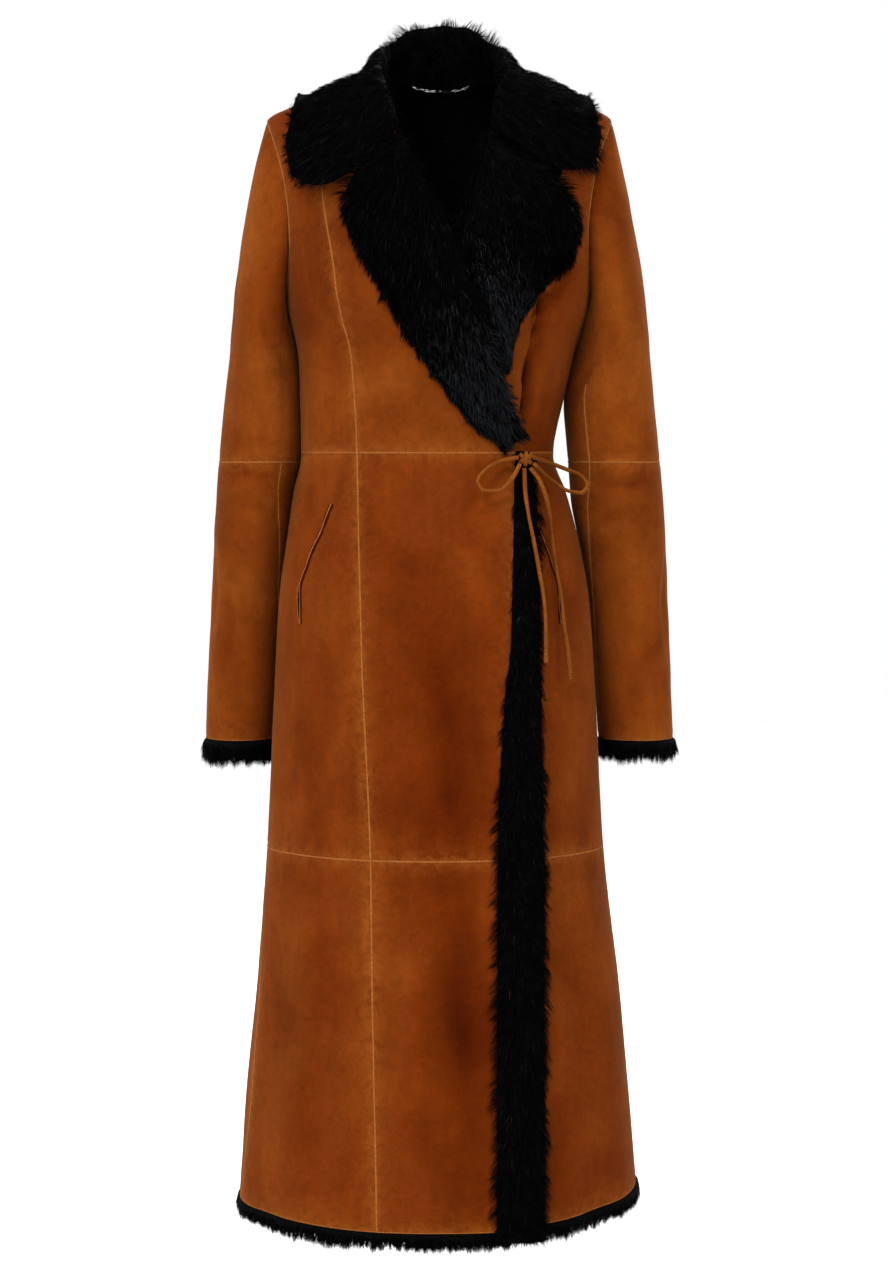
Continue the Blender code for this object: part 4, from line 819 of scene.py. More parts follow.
def circle(count):
    return np.linspace(0, 2 * np.pi, count, endpoint=False)


def round_trip(count):
    """The numbers of a ring's points, and of the points after them."""
    k = np.arange(count)
    return k, (k + 1) % count


def grid_faces(rows, cols, start=0, flip=False, round_it=False):
    """Quads of a grid of points. round_it joins the last column to the first."""
    r, c = np.meshgrid(np.arange(rows - 1), np.arange(cols if round_it else cols - 1), indexing="ij")
    after = (c + 1) % cols
    quads = np.stack([r * cols + c, r * cols + after, (r + 1) * cols + after, (r + 1) * cols + c], -1)
    quads = quads.reshape(-1, 4) + start
    return quads[:, ::-1] if flip else quads


def border(rows, cols):
    """The numbers of the grid's outer points, once round."""
    grid = np.arange(rows * cols).reshape(rows, cols)
    return np.concatenate([grid[0, :-1], grid[:-1, -1], grid[-1, :0:-1], grid[:0:-1, 0]])


def frames_along(points):
    """Tangent, side and normal of a chain of points, turned as little as possible from the front."""
    tangent = unit(np.gradient(points, axis=0))
    normal = np.empty_like(points)
    last = np.array([0.0, -1.0, 0.0])
    for i, t in enumerate(tangent):
        last = unit(last - t * (last @ t))
        normal[i] = last
    return tangent, unit(np.cross(tangent, normal)), normal


def tube(points, section, twist=0.0):
    """(points, faces) of a closed tube. section: across and out for each corner, one set or one a point."""
    _, side, normal = frames_along(points)
    turn = np.radians(np.broadcast_to(twist, len(points)))[:, None]
    side, normal = (
        side * np.cos(turn) + normal * np.sin(turn),
        normal * np.cos(turn) - side * np.sin(turn),
    )
    section = np.broadcast_to(section, (len(points), *section.shape[-2:]))
    rings = points[:, None] + side[:, None] * section[..., :1] + normal[:, None] * section[..., 1:]
    count, around = rings.shape[:2]
    total = count * around
    k, after = round_trip(around)
    caps = np.concatenate([
        np.stack([after, np.full(around, total), k], -1),
        np.stack([total - around + k, np.full(around, total + 1), total - around + after], -1),
    ])
    ends = [np.mean(rings[0], axis=0), np.mean(rings[-1], axis=0)]
    walls = grid_faces(count, around, round_it=True, flip=True)
    return np.concatenate([rings.reshape(-1, 3), ends]), [walls, caps]


CORD_CORNERS, CORD_SQUARENESS = 12, 3.0


def cord_section(width, height):
    turn = circle(CORD_CORNERS)
    return np.stack([
        width / 2 * signed_power(np.cos(turn), 2 / CORD_SQUARENESS),
        height / 2 * signed_power(np.sin(turn), 2 / CORD_SQUARENESS),
    ], -1)


# ================================================================ materials


class Nodes:
    """Adds nodes to a new material, with links given in place of values."""

    def __init__(self, name):
        self.material = bpy.data.materials.new(name)
        self.material.use_nodes = True
        self.tree = self.material.node_tree

    def add(self, kind, inputs=(), **properties):
        node = self.tree.nodes.new("ShaderNode" + kind)
        for key, value in properties.items():
            setattr(node, key, value)
        self.fill(node, dict(inputs))
        return node

    def fill(self, node, inputs):
        for key, value in inputs.items():
            if isinstance(value, bpy.types.NodeSocket):
                self.tree.links.new(value, node.inputs[key])
            else:
                node.inputs[key].default_value = value

    def noise(self, size, detail=3.0, distortion=0.0, stretch=(1, 1, 1)):
        """Noise whose blobs are about size across, drawn out by stretch."""
        place = self.add("TexCoord").outputs["Object"]
        place = self.add("Mapping", {"Vector": place, "Scale": [1 / s for s in stretch]}).outputs[0]
        values = {"Vector": place, "Scale": 1 / size, "Detail": detail, "Distortion": distortion}
        return self.add("TexNoise", values).outputs["Fac"]

    def field(self, name):
        """A value that the mesh holds for each of its points."""
        return self.add("Attribute", attribute_name=name).outputs["Fac"]

    def ramp(self, factor, *stops):
        """The colour at the factor. Each stop is a place and a colour or a grey."""
        node = self.add("ValToRGB", {"Fac": factor})
        node.color_ramp.elements.remove(node.color_ramp.elements[1])
        for i, (place, colour) in enumerate(stops):
            stop = node.color_ramp.elements[0] if i == 0 else node.color_ramp.elements.new(place)
            stop.position = place
            stop.color = (*(colour if hasattr(colour, "__len__") else (colour,) * 3), 1)
        return node.outputs["Color"]

    def mix(self, factor, first, second, way="MIX"):
        """The two colours mixed in the given way. The node's sockets have to be named by number."""
        node = self.add("Mix", data_type="RGBA", blend_type=way)
        self.fill(node, {0: factor, 6: first, 7: second})
        return node.outputs[2]

    def bump(self, height, distance, strength=1.0, normal=None):
        values = {"Height": height, "Distance": distance, "Strength": strength}
        if normal is not None:
            values["Normal"] = normal
        return self.add("Bump", values).outputs["Normal"]

    def finished(self, colour, roughness, shine, more=()):
        """The material, with these values in its shader."""
        values = {"Base Color": colour, "Roughness": roughness, "Specular IOR Level": shine, **dict(more)}
        self.fill(self.tree.nodes["Principled BSDF"], values)
        return self.material


SUEDE_DARK = (0.112, 0.0205, 0.0018)
SUEDE_MIDDLE = (0.139, 0.0295, 0.0028)
SUEDE_LIGHT = (0.170, 0.0405, 0.0048)
# What the skin's colour is multiplied by where its tone is 0, a third, two thirds and 1: the darker,
# the redder
TONE_TINTS = ((0.20, 0.085, 0.03), (0.55, 0.36, 0.14), (0.763, 0.606, 0.50), (1.0, 1.0, 1.0))
SUEDE_RUBBED = (0.205, 0.0580, 0.0085)
SUEDE_NAP = {"Sheen Weight": 0.065, "Sheen Roughness": 0.45, "Sheen Tint": (1.0, 0.48, 0.16, 1)}
CUT_EDGE = (0.270, 0.092, 0.0210)
CUT_EDGE_DARK = (0.165, 0.046, 0.0075)
THREAD_DARK, THREAD_LIGHT = (0.120, 0.028, 0.0035), (0.190, 0.056, 0.0090)
LACE_DARK, LACE_LIGHT = (0.085, 0.020, 0.0018), (0.190, 0.054, 0.0055)
SHORT_PILE_DARK, SHORT_PILE_LIGHT = (0.0005, 0.0005, 0.0006), (0.0022, 0.0021, 0.0022)
STRANDS = (  # name, colour, roughness, shine, from the most common to those that catch the light
    ("pile_black", (0.0005, 0.0005, 0.0006), 0.65, 0.01),
    ("pile_dark", (0.0009, 0.0009, 0.0011), 0.55, 0.02),
    ("pile_sheen", (0.0015, 0.0017, 0.0021), 0.50, 0.05),
    ("pile_lit", (0.0046, 0.0056, 0.0070), 0.50, 0.12),
)


def suede_material():
    n = Nodes("suede_skin")
    patches = n.noise(size=0.105, detail=4.0, distortion=0.5)
    drawn = n.noise(size=0.035, detail=3.0, distortion=0.5, stretch=(1, 1, 4))
    brushed = n.noise(size=0.013, detail=4.0, distortion=1.3)
    grain = n.noise(size=0.0011, detail=2.0)
    colour = n.ramp(patches, (0.30, SUEDE_DARK), (0.50, SUEDE_MIDDLE), (0.70, SUEDE_LIGHT))
    colour = n.mix(0.55, colour, n.ramp(drawn, (0.30, 0.36), (0.55, 0.5), (0.75, 0.62)), "OVERLAY")
    colour = n.mix(0.45, colour, n.ramp(brushed, (0.35, 0.40), (0.62, 0.57)), "OVERLAY")
    colour = n.mix(0.5, colour, n.ramp(grain, (0.25, 0.40), (0.75, 0.60)), "OVERLAY")
    # The tone carries painted light and shade from the skin's folds, patches and nearness to the body
    tint = n.ramp(n.field("tone"), *((i / 3, shade) for i, shade in enumerate(TONE_TINTS)))
    colour = n.mix(1.0, colour, tint, "MULTIPLY")
    factors = {0: n.field("rubbed"), 1: n.ramp(brushed, (0.35, 0.25), (0.65, 0.95))}
    rubbed = n.add("Math", factors, operation="MULTIPLY").outputs[0]
    colour = n.mix(rubbed, colour, (*SUEDE_RUBBED, 1))
    hollows = n.noise(size=0.009, detail=3.0, distortion=0.6)
    relief = n.bump(hollows, distance=0.0012, strength=0.35)
    relief = n.bump(grain, distance=0.00035, strength=0.6, normal=relief)
    return n.finished(colour, roughness=0.95, shine=0.02, more={"Normal": relief, **SUEDE_NAP})


def cut_edge_material():
    n = Nodes("suede_cut_edge")
    fibres = n.noise(size=0.0022, detail=4.0, distortion=0.8)
    colour = n.ramp(fibres, (0.30, CUT_EDGE_DARK), (0.70, CUT_EDGE))
    relief = n.bump(fibres, distance=0.0004, strength=0.8)
    return n.finished(colour, roughness=0.95, shine=0.03, more={"Normal": relief})


def thread_material():
    n = Nodes("sewing_thread")
    fibres = n.noise(size=0.0009, detail=2.0)
    colour = n.ramp(fibres, (0.3, THREAD_DARK), (0.7, THREAD_LIGHT))
    return n.finished(colour, roughness=0.7, shine=0.08)


def short_pile_material():
    n = Nodes("short_pile")
    curls = n.noise(size=0.006, detail=4.0, distortion=1.2)
    colour = n.ramp(curls, (0.35, SHORT_PILE_DARK), (0.70, SHORT_PILE_LIGHT))
    relief = n.bump(curls, distance=0.004, strength=1.0)
    hairs = n.noise(size=0.0016, detail=3.0, distortion=0.5, stretch=(1, 1, 3))
    relief = n.bump(hairs, distance=0.001, strength=0.7, normal=relief)
    return n.finished(colour, roughness=0.9, shine=0.02, more={"Normal": relief})


def lace_material():
    n = Nodes("lace_leather")
    fibres = n.noise(size=0.0016, detail=4.0, distortion=0.6)
    colour = n.ramp(fibres, (0.30, LACE_DARK), (0.70, LACE_LIGHT))
    wear_and_glints = n.noise(size=0.02, detail=2.0)
    colour = n.mix(0.6, colour, n.ramp(wear_and_glints, (0.35, 0.38), (0.65, 0.60)), "OVERLAY")
    relief = n.bump(fibres, distance=0.0004, strength=0.7)
    return n.finished(colour, roughness=0.85, shine=0.06, more={"Normal": relief})


def steel_material():
    n = Nodes("chain_steel")
    # Painted glints and shade: near-black and bright patches in the steel's colour stand for sparkle and dark
    # gaps
    wear_and_glints = n.ramp(n.noise(size=0.0060, detail=1.0), (0.48, 0.010), (0.57, 0.60))
    scratches = n.noise(size=0.0008, detail=3.0, distortion=0.3, stretch=(1, 6, 1))
    dullness = n.ramp(scratches, (0.3, 0.16), (0.7, 0.34))
    return n.finished(wear_and_glints, roughness=dullness, shine=0.5, more={"Metallic": 1.0})


def floor_material():
    n = Nodes("studio_floor")
    colour = n.ramp(n.noise(size=0.9, detail=2.0), (0.3, 0.80), (0.7, 0.83))
    return n.finished(colour, roughness=0.9, shine=0.1)


# ================================================================ camera, light and floor

CAMERA_HEIGHT = -0.4125
CAMERA_DISTANCE = 3.4
SENSOR_HEIGHT = 36  # millimetres
PICTURE_HEIGHT = 1282
METRES_A_PIXEL = 0.0011
HORIZON_ROW = 455
SHIFT_COLUMNS = 3
FLOOR_Z = -1.47
FLOOR_RADII = (0.4, 9.0)
FLOOR_RINGS, FLOOR_CORNERS = 12, 96

LIGHTS = {  # place, size, watts
    "key": ((-1.7, -2.9, 2.3), 1.3, 110),
    "fill": ((2.8, -2.4, 0.9), 2.2, 40),
    "back_left": ((1.9, 2.9, 2.0), 1.5, 130),
    "back_right": ((-2.8, 2.2, 0.9), 2.0, 45),
}
LIGHT_TARGET = (0.0, 0.0, -0.55)
SUN_FROM = (-0.35, -0.94, 1.9)
SUN_STRENGTH, SUN_ANGLE = 3.0, 50.0
# The sky is white where the camera looks, near the horizon, and dim higher up
SKY = {"From Min": 0.30, "From Max": 0.60, "To Min": 1.0, "To Max": 0.25}


def camera():
    data = bpy.data.cameras.new("camera")
    data.sensor_fit = "VERTICAL"
    data.sensor_height = SENSOR_HEIGHT
    data.lens = SENSOR_HEIGHT * CAMERA_DISTANCE / (PICTURE_HEIGHT * METRES_A_PIXEL)
    pitch = math.atan((PICTURE_HEIGHT / 2 - HORIZON_ROW) * METRES_A_PIXEL / CAMERA_DISTANCE)
    data.shift_x = SHIFT_COLUMNS / PICTURE_HEIGHT
    made = bpy.data.objects.new("camera", data)
    made.location = (0, -CAMERA_DISTANCE, CAMERA_HEIGHT)
    made.rotation_euler = (math.pi / 2 - pitch, 0, 0)
    bpy.context.scene.collection.objects.link(made)
    bpy.context.scene.camera = made


def aim(data, place, target):
    way = np.subtract(target, place)
    down = math.atan2(math.hypot(way[0], way[1]), -way[2])
    made = bpy.data.objects.new(data.name, data)
    made.location = place
    made.rotation_euler = (down, 0, math.atan2(way[1], way[0]) - math.pi / 2)
    bpy.context.scene.collection.objects.link(made)


def lights():
    for name, (place, size, watts) in LIGHTS.items():
        data = bpy.data.lights.new(name, "AREA")
        data.shape = "DISK"
        data.size = size
        data.energy = watts
        aim(data, place, LIGHT_TARGET)
    data = bpy.data.lights.new("sun", "SUN")
    data.energy = SUN_STRENGTH
    data.angle = math.radians(SUN_ANGLE)
    aim(data, SUN_FROM, (0, 0, 0))
    world = bpy.data.worlds.new("studio")
    world.use_nodes = True
    nodes, links = world.node_tree.nodes, world.node_tree.links
    height = nodes.new("ShaderNodeSeparateXYZ")
    links.new(nodes.new("ShaderNodeTexCoord").outputs["Generated"], height.inputs[0])
    fade = nodes.new("ShaderNodeMapRange")
    for socket, value in SKY.items():
        fade.inputs[socket].default_value = value
    links.new(height.outputs["Z"], fade.inputs["Value"])
    links.new(fade.outputs["Result"], nodes["Background"].inputs["Strength"])
    nodes["Background"].inputs["Color"].default_value = (1, 1, 1, 1)
    bpy.context.scene.world = world
    bpy.context.scene.view_settings.view_transform = "Standard"


def floor():
    turn = circle(FLOOR_CORNERS)
    rings = [
        np.stack([r * np.cos(turn), r * np.sin(turn), np.full_like(turn, FLOOR_Z)], -1)
        for r in np.linspace(*FLOOR_RADII, FLOOR_RINGS)
    ]
    points = np.concatenate([*rings, [[0, 0, FLOOR_Z]]])
    k, after = round_trip(FLOOR_CORNERS)
    middle = np.stack([k, after, np.full(FLOOR_CORNERS, len(points) - 1)], -1)
    faces = [grid_faces(FLOOR_RINGS, FLOOR_CORNERS, round_it=True, flip=True), middle]
    mesh_object("studio_floor", points, faces, [floor_material()])


# ================================================================ the lace and the chain

LACE_THICKNESS = 0.0036
LACE_TWIST = {"loop_right": 70.0, "loop_left": -60.0, "end_right": 120.0, "end_left": 90.0}
LACE_STEP = 0.0015
LACE_FEWEST_POINTS, LACE_MEASURED_POINTS = 40, 200
LACE_UNEVEN, LACE_UNEVEN_SIZE, LACE_SEED = 0.06, 0.006, 3
KNOT_TURNS = (  # lean in degrees, how much further out, share of the knot's width
    (-38.0, 0.0, 1.0),
    (34.0, 0.0006, 1.0),
    (86.0, 0.0016, 0.92),
)
KNOT_LACE = (0.0044, 0.0030)  # width and thickness
KNOT_TURN_POINTS, KNOT_TURN_ANGLE, KNOT_TURN_INSET = 28, 0.62 * math.pi, 0.0012
KNOT_CORE_RINGS, KNOT_CORE_CORNERS = 14, 20
KNOT_CORE_SHARE, KNOT_CORE_POLE = 0.40, 0.08
CHAIN_SAMPLES = 200
LINK_LENGTH = 0.0066
LINK_WIRE = 0.00060
LINK_POINTS, LINK_CORNERS = 18, 8
LINK_ROUNDNESS = 0.8
LINK_LEAN, LINK_TURN = 45, 90  # degrees


def lace(finish):
    knot = tied_knot(finish)
    for name, path in LACE_PATHS.items():
        route = [(x, coat_front_y(x, z) - away - LACE_DIAMETER / 2, z) for x, away, z in path]
        length = float(steps(smooth_path(route, LACE_MEASURED_POINTS)).sum())
        points = smooth_path(route, max(LACE_FEWEST_POINTS, round(length / LACE_STEP)))
        ripple = soft_noise(points, LACE_UNEVEN_SIZE, LACE_SEED)[:, None, None]
        section = cord_section(LACE_DIAMETER, LACE_THICKNESS) * (1 + LACE_UNEVEN * ripple)
        twist = LACE_TWIST[name] * np.sin(np.linspace(0, math.pi, len(points)))
        made = mesh_object(f"lace_cord_{name}", *tube(points, section, twist), [finish], sharp=LACE_SHARP)
        wear(made, "lace_leather", f"lace_{name}")


def tied_knot(finish):
    """Three turns of the lace, one upright over two that cross."""
    centre = np.array([KNOT_X, coat_front_y(KNOT_X, KNOT_Z) - KNOT_SIZE[1] / 2 - LACE_SEAT, KNOT_Z])
    parts = []
    turn = np.linspace(-KNOT_TURN_ANGLE, KNOT_TURN_ANGLE, KNOT_TURN_POINTS)
    for lean, push, reach in KNOT_TURNS:
        along = np.sin(turn) * KNOT_SIZE[0] / 2 * reach
        out = np.cos(turn) * (KNOT_SIZE[1] / 2 - KNOT_TURN_INSET) + push
        lean = math.radians(lean)
        points = centre + np.stack([along * math.cos(lean), -out, along * math.sin(lean)], -1)
        parts.append(tube(points, cord_section(*KNOT_LACE)))
    turn = circle(KNOT_CORE_CORNERS)
    x, y, z = np.array(KNOT_SIZE) * KNOT_CORE_SHARE
    core = []
    for latitude in np.linspace(KNOT_CORE_POLE, math.pi - KNOT_CORE_POLE, KNOT_CORE_RINGS):
        sine = math.sin(latitude)
        ring = [np.full_like(turn, x * math.cos(latitude)), y * sine * np.cos(turn), z * sine * np.sin(turn)]
        core.append(centre + np.stack(ring, -1))
    parts.append((np.concatenate(core), [grid_faces(KNOT_CORE_RINGS, KNOT_CORE_CORNERS, round_it=True)]))
    return joined_piece("lace_tied_knot", parts, finish, KNOT_SHARP, "lace_leather", "lace_knot")


def hanger(steel):
    """A chain of curb links along the hanger's line, each turned a quarter from the last."""
    turn = np.radians(np.linspace(-90, 90, CHAIN_SAMPLES))
    line = np.stack([
        HANGER_HALF * np.sin(turn),
        HANGER_BACK_Y - HANGER_FORWARD * np.cos(turn),
        HANGER_Z - HANGER_SAG * np.cos(turn),
    ], -1)
    count = round(steps(line).sum() / (LINK_LENGTH - 2 * LINK_WIRE))
    middle = walk(line, (np.arange(count) + 0.5) / count)
    around, spin = circle(LINK_POINTS), circle(LINK_CORNERS)[None, :, None]
    long = (LINK_LENGTH - LINK_WIRE) / 2 * signed_power(np.cos(around), LINK_ROUNDNESS)
    wide = (HANGER_DIAMETER - LINK_WIRE) / 2 * signed_power(np.sin(around), LINK_ROUNDNESS)
    faces = grid_faces(LINK_POINTS + 1, LINK_CORNERS, round_it=True) % (LINK_POINTS * LINK_CORNERS)
    parts = []
    for i, (place, tangent, side, normal) in enumerate(zip(middle, *frames_along(middle))):
        lean = math.radians(LINK_LEAN + LINK_TURN * (i % 2))
        across = side * math.cos(lean) + normal * math.sin(lean)
        ring = place + np.outer(long, tangent) + np.outer(wide, across)
        away = unit(ring - place)[:, None]
        out = np.cross(tangent, across)
        rings = ring[:, None] + LINK_WIRE / 2 * (away * np.cos(spin) + out * np.sin(spin))
        parts.append((rings.reshape(-1, 3), [faces]))
    joined_piece("hanger_chain_links", parts, steel, LINK_SHARP, "steel", "hanger_chain")


# ================================================================ suede panels

SKIN = 0.0012
EDGE_DIP = 0.0006
EDGE_DIP_REACH = 0.0040
RUBBED, RUBBED_REACH = 0.62, 0.0070
PUCKER_HEIGHT, PUCKER_SIZE, PUCKER_SEED = 0.00045, 0.0085, 11
PUCKER_FROM_EDGE, PUCKER_REACH, PUCKER_FREE = 0.004, 0.011, 0.003

# How finely the pieces are laid out
LOWER_BODICE_ROWS = 28
UPPER_BODICE_ROWS = 45
SKIRT_FINE_ROWS = 70
LOWER_SKIRT_FINE_ROWS = 64
FRONT_SIDE_COLUMNS = 14
FRONT_CENTRE_COLUMNS = 22
BACK_FINE_COLUMNS = (12, 15, 15, 12)
SLEEVE_COLUMNS = {"top": 57, "under": 17}
CAP_FINE_ROWS = 40
UPPER_SLEEVE_FINE = 20
FOREARM_FINE = 50

# Creases of the body, in the plane of x and z. depth is inwards, so a ridge has a negative one.
FRONT_CREASES = (  # x0, z0, x1, z1, half_width, depth
    (-0.136, -0.215, -0.098, -0.300, 0.0100, 0.0030),
    (-0.122, -0.215, -0.092, -0.280, 0.0100, -0.0018),
    (-0.122, -0.424, -0.128, -0.476, 0.0080, 0.0038),
    (-0.134, -0.428, -0.142, -0.486, 0.0085, 0.0035),
    (-0.128, -0.430, -0.134, -0.470, 0.0075, -0.0021),
    (0.136, -0.205, 0.102, -0.282, 0.0090, 0.0048),
    (0.112, -0.225, 0.097, -0.300, 0.0070, 0.0062),
    (0.102, -0.270, 0.081, -0.410, 0.0075, 0.0078),
    (0.118, -0.250, 0.098, -0.390, 0.0120, -0.0036),
    (0.106, -0.425, 0.108, -0.490, 0.0075, 0.0042),
    (0.090, -0.430, 0.098, -0.520, 0.0100, -0.0021),
    (0.118, -0.470, 0.128, -0.600, 0.0120, 0.0022),
    (0.060, -0.425, 0.010, -0.490, 0.0120, 0.0022),
    (0.066, -0.440, 0.034, -0.540, 0.0140, -0.0018),
    (-0.138, -0.250, -0.108, -0.375, 0.0150, 0.0026),
    (-0.120, -0.330, -0.098, -0.400, 0.0110, -0.0018),
    (-0.150, -0.440, -0.126, -0.520, 0.0140, 0.0026),
    (-0.158, -0.520, -0.160, -0.640, 0.0120, -0.0016),
    (-0.128, -0.600, -0.118, -0.760, 0.0180, 0.0029),
    (-0.020, -0.560, 0.012, -0.800, 0.0300, 0.0042),
    (0.022, -0.860, 0.030, -1.190, 0.0280, 0.0036),
    (-0.048, -0.900, -0.040, -1.170, 0.0240, -0.0033),
    (-0.120, -0.880, -0.132, -1.180, 0.0260, 0.0042),
    (0.158, -0.700, 0.172, -0.960, 0.0200, 0.0032),
    (0.136, -0.900, 0.150, -1.180, 0.0240, 0.0042),
)
BACK_CREASES = (
    (0.120, -0.130, 0.070, -0.260, 0.0160, 0.0035),
    (-0.124, -0.140, -0.076, -0.270, 0.0170, 0.0032),
    (0.050, -0.300, 0.082, -0.400, 0.0130, 0.0029),
    (-0.044, -0.310, -0.080, -0.398, 0.0140, 0.0032),
    (0.000, -0.330, 0.006, -0.405, 0.0120, 0.0019),
    (0.090, -0.430, 0.104, -0.560, 0.0170, 0.0038),
    (-0.092, -0.430, -0.108, -0.540, 0.0160, 0.0035),
    (0.026, -0.430, 0.032, -0.590, 0.0200, 0.0029),
    (-0.034, -0.440, -0.038, -0.560, 0.0180, -0.0021),
    (0.020, -0.620, 0.012, -0.830, 0.0280, 0.0045),
    (-0.080, -0.640, -0.090, -0.820, 0.0260, 0.0042),
    (0.070, -0.880, 0.080, -1.190, 0.0280, 0.0054),
    (-0.010, -0.900, -0.016, -1.180, 0.0300, -0.0039),
    (-0.104, -0.870, -0.118, -1.190, 0.0260, 0.0051),
)
# Creases of a sleeve: turn round it and height at each end
SLEEVE_CREASES = (  # turn0, z0, turn1, z1, half_width, depth
    (60.0, -0.398, 128.0, -0.412, 0.0075, 0.0026),
    (40.0, -0.430, 120.0, -0.446, 0.0085, 0.0038),
    (70.0, -0.470, 140.0, -0.486, 0.0080, 0.0029),
    (30.0, -0.452, 84.0, -0.462, 0.0090, -0.0021),
    (110.0, -0.300, 150.0, -0.350, 0.0110, 0.0032),
    (84.0, -0.260, 120.0, -0.310, 0.0100, 0.0022),
    (20.0, -0.500, 34.0, -0.640, 0.0130, 0.0026),
    (70.0, -0.540, 62.0, -0.700, 0.0110, 0.0022),
    (-40.0, -0.330, -70.0, -0.420, 0.0130, 0.0029),
    (-60.0, -0.470, -44.0, -0.560, 0.0130, -0.0024),
    (-110.0, -0.380, -80.0, -0.430, 0.0100, 0.0029),
)
SLEEVE_RADIUS = 0.050
SLEEVE_CREASE_SHIFT = {-1: -0.004, 1: 0.006}
# A crease swings to both sides of its line, tapers towards its ends and fades past them
CREASE_SWING, CREASE_WAVES, CREASE_WAVE_SHARE, CREASE_PHASE = 0.35, 2.1, 0.35, 4000
CREASE_TAPER, CREASE_TAPER_POWER, CREASE_FADE = 0.45, 0.7, 2.2

# Soft unevenness. For each layer: height, size, seed, and its blobs' width as a share of their height
BODY_UNEVEN = ((0.0013, 0.085, 1, 0.55), (0.0006, 0.034, 2, 1))
SLEEVE_UNEVEN = {side: ((0.0012, 0.060, 5 + side, 0.5), (0.0005, 0.026, 8, 1)) for side in (-1, 1)}
TURNS_AT_Y = 0.03  # how far from the middle plane the body's front or back is in full
BODY_SIDE_CALM, SLEEVE_INNER_CALM = 0.25, 0.35

# Where a sleeve's inner side rests against the body: z where that begins, is full, still is, and ends
TOUCHING = {"right": (-0.200, -0.255, -0.385, -0.430), "left": (-0.235, -0.268, -0.330, -0.358)}
PRESSED = 0.0005
CAP_HELD = 0.25  # how far down the cap the sleeve's edge still moves with the body's skin

# The heights between which a seam lies in a fold or between sleeve and body, so that none of it shows
HIDDEN_SEAMS = {
    ("front_centre_bodice_left", "first_column"): (-0.500, -0.245),
    ("sleeve_upper_top_right", "last_column"): (-0.420, -0.150),
    ("sleeve_upper_top_left", "last_column"): (-0.335, -0.150),
}
# The same for the rubbed lines beside those seams, by the panels on both sides
UNRUBBED = {
    "front_centre_bodice_left": (-0.500, -0.245), "front_side_bodice_left": (-0.500, -0.245),
    "sleeve_upper_top_right": (-0.400, -0.200), "sleeve_upper_under_right": (-0.400, -0.200),
    "sleeve_upper_top_left": (-0.330, -0.200), "sleeve_upper_under_left": (-0.330, -0.200),
}
UNRUBBED_FADE, UNRUBBED_LOW_FADE = 0.010, 0.005

# How light each kind of panel's skin is, from 0 to 1, by how its node's name starts: lightest on the upper
# sleeves, darker lower down the coat and at the back
TONES = {
    "sleeve_upper": 0.98, "sleeve_forearm": 0.86, "front_centre_bodice": 0.76, "front_side_bodice": 0.55,
    "front_side_skirt": 0.56, "front_side_lower_skirt": 0.48,
}
PLAIN_TONE = 0.44
# Streaks and patches in the tone, in layers of the same four measures
TONE_UNEVEN = ((0.10, 0.020, 41, 0.18), (0.08, 0.050, 42, 1))
# Painted shade in creases and painted light on ridges, by relief between these limits
SHADING_OF_RELIEF = 75  # a metre
SHADED_RELIEF = (-0.0070, 0.0025)
# A fold deeper than this is in its own shadow, and its tone falls faster
DEEP_FOLD, DEEP_FOLD_RANGE, SHADE_OF_DEEP_FOLD = 0.0052, 0.0030, 480
LOWEST_TONE = -0.5
# Painted shade: the skin is darker where a sleeve lies close to the body, as in the shadow between them
CONTACT_SHADE = {"right": 0.5, "left": 1.3}
CONTACT_SHADE_REACH = 0.005
# Places on the fronts whose skin is lighter or darker: most are painted light on ridges and folds, and
# painted shade in troughs and beside the front edge's pile. The last, almost black, is painted shade in the
# gap between collar and lapel at the right gorge.
LIGHT_AND_SHADE_PATCHES = (  # x, z, half_width, half_height, lighter
    (0.018, -1.030, 0.042, 0.320, -0.46),
    (-0.075, -1.020, 0.034, 0.230, 0.16),
    (-0.165, -0.980, 0.034, 0.260, 0.14),
    (0.000, -0.700, 0.034, 0.170, -0.20),
    (-0.048, -0.560, 0.040, 0.120, 0.06),
    (-0.146, -0.195, 0.014, 0.034, 0.22),
    (-0.120, -0.300, 0.016, 0.070, 0.12),
    (-0.095, -0.380, 0.050, 0.040, 0.10),
    (0.120, -0.560, 0.030, 0.150, -0.16),
    (0.105, -1.080, 0.040, 0.220, 0.10),
    (-0.048, -0.066, 0.009, 0.011, -2.50),
)

SHELLS = {}  # the outer face and the normals of each panel that is made, for its seams


def noise_layer(points, height, size, seed, width_share):
    """Soft noise from -height to height, drawn out up and down where width_share is under 1."""
    return height * soft_noise(points * (1, 1, width_share), size, seed)


def crease_depth(a, b, table):
    """How deep the table's creases lie at places (a, b), in metres on the cloth."""
    depth = np.zeros_like(a)
    for a0, b0, a1, b1, half_width, most in table:
        way = np.array([a1 - a0, b1 - b0])
        length = np.hypot(*way)
        way = way / length
        along = (a - a0) * way[0] + (b - b0) * way[1]
        wave = np.sin(along * CREASE_WAVES / half_width * CREASE_WAVE_SHARE + most * CREASE_PHASE)
        off = np.abs((a - a0) * way[1] - (b - b0) * way[0] + CREASE_SWING * half_width * wave)
        past = np.maximum(np.maximum(-along, along - length), 0) / (CREASE_FADE * half_width)
        taper = np.clip(np.minimum(along, length - along) / (CREASE_TAPER * length), 0, 1)
        depth = depth + most * hump(off / half_width) * taper**CREASE_TAPER_POWER * np.clip(1 - past, 0, 1)
    return depth


def body_relief(points):
    """How far the body's skin stands out from its plain surface."""
    x, y, z = np.moveaxis(points, -1, 0)
    front, back = smoothstep(-y, 0.0, TURNS_AT_Y), smoothstep(y, 0.0, TURNS_AT_Y)
    relief = -crease_depth(x, z, FRONT_CREASES) * front - crease_depth(x, z, BACK_CREASES) * back
    calm = BODY_SIDE_CALM + (1 - BODY_SIDE_CALM) * np.maximum(front, back)
    return relief + sum(noise_layer(points, *layer) for layer in BODY_UNEVEN) * calm


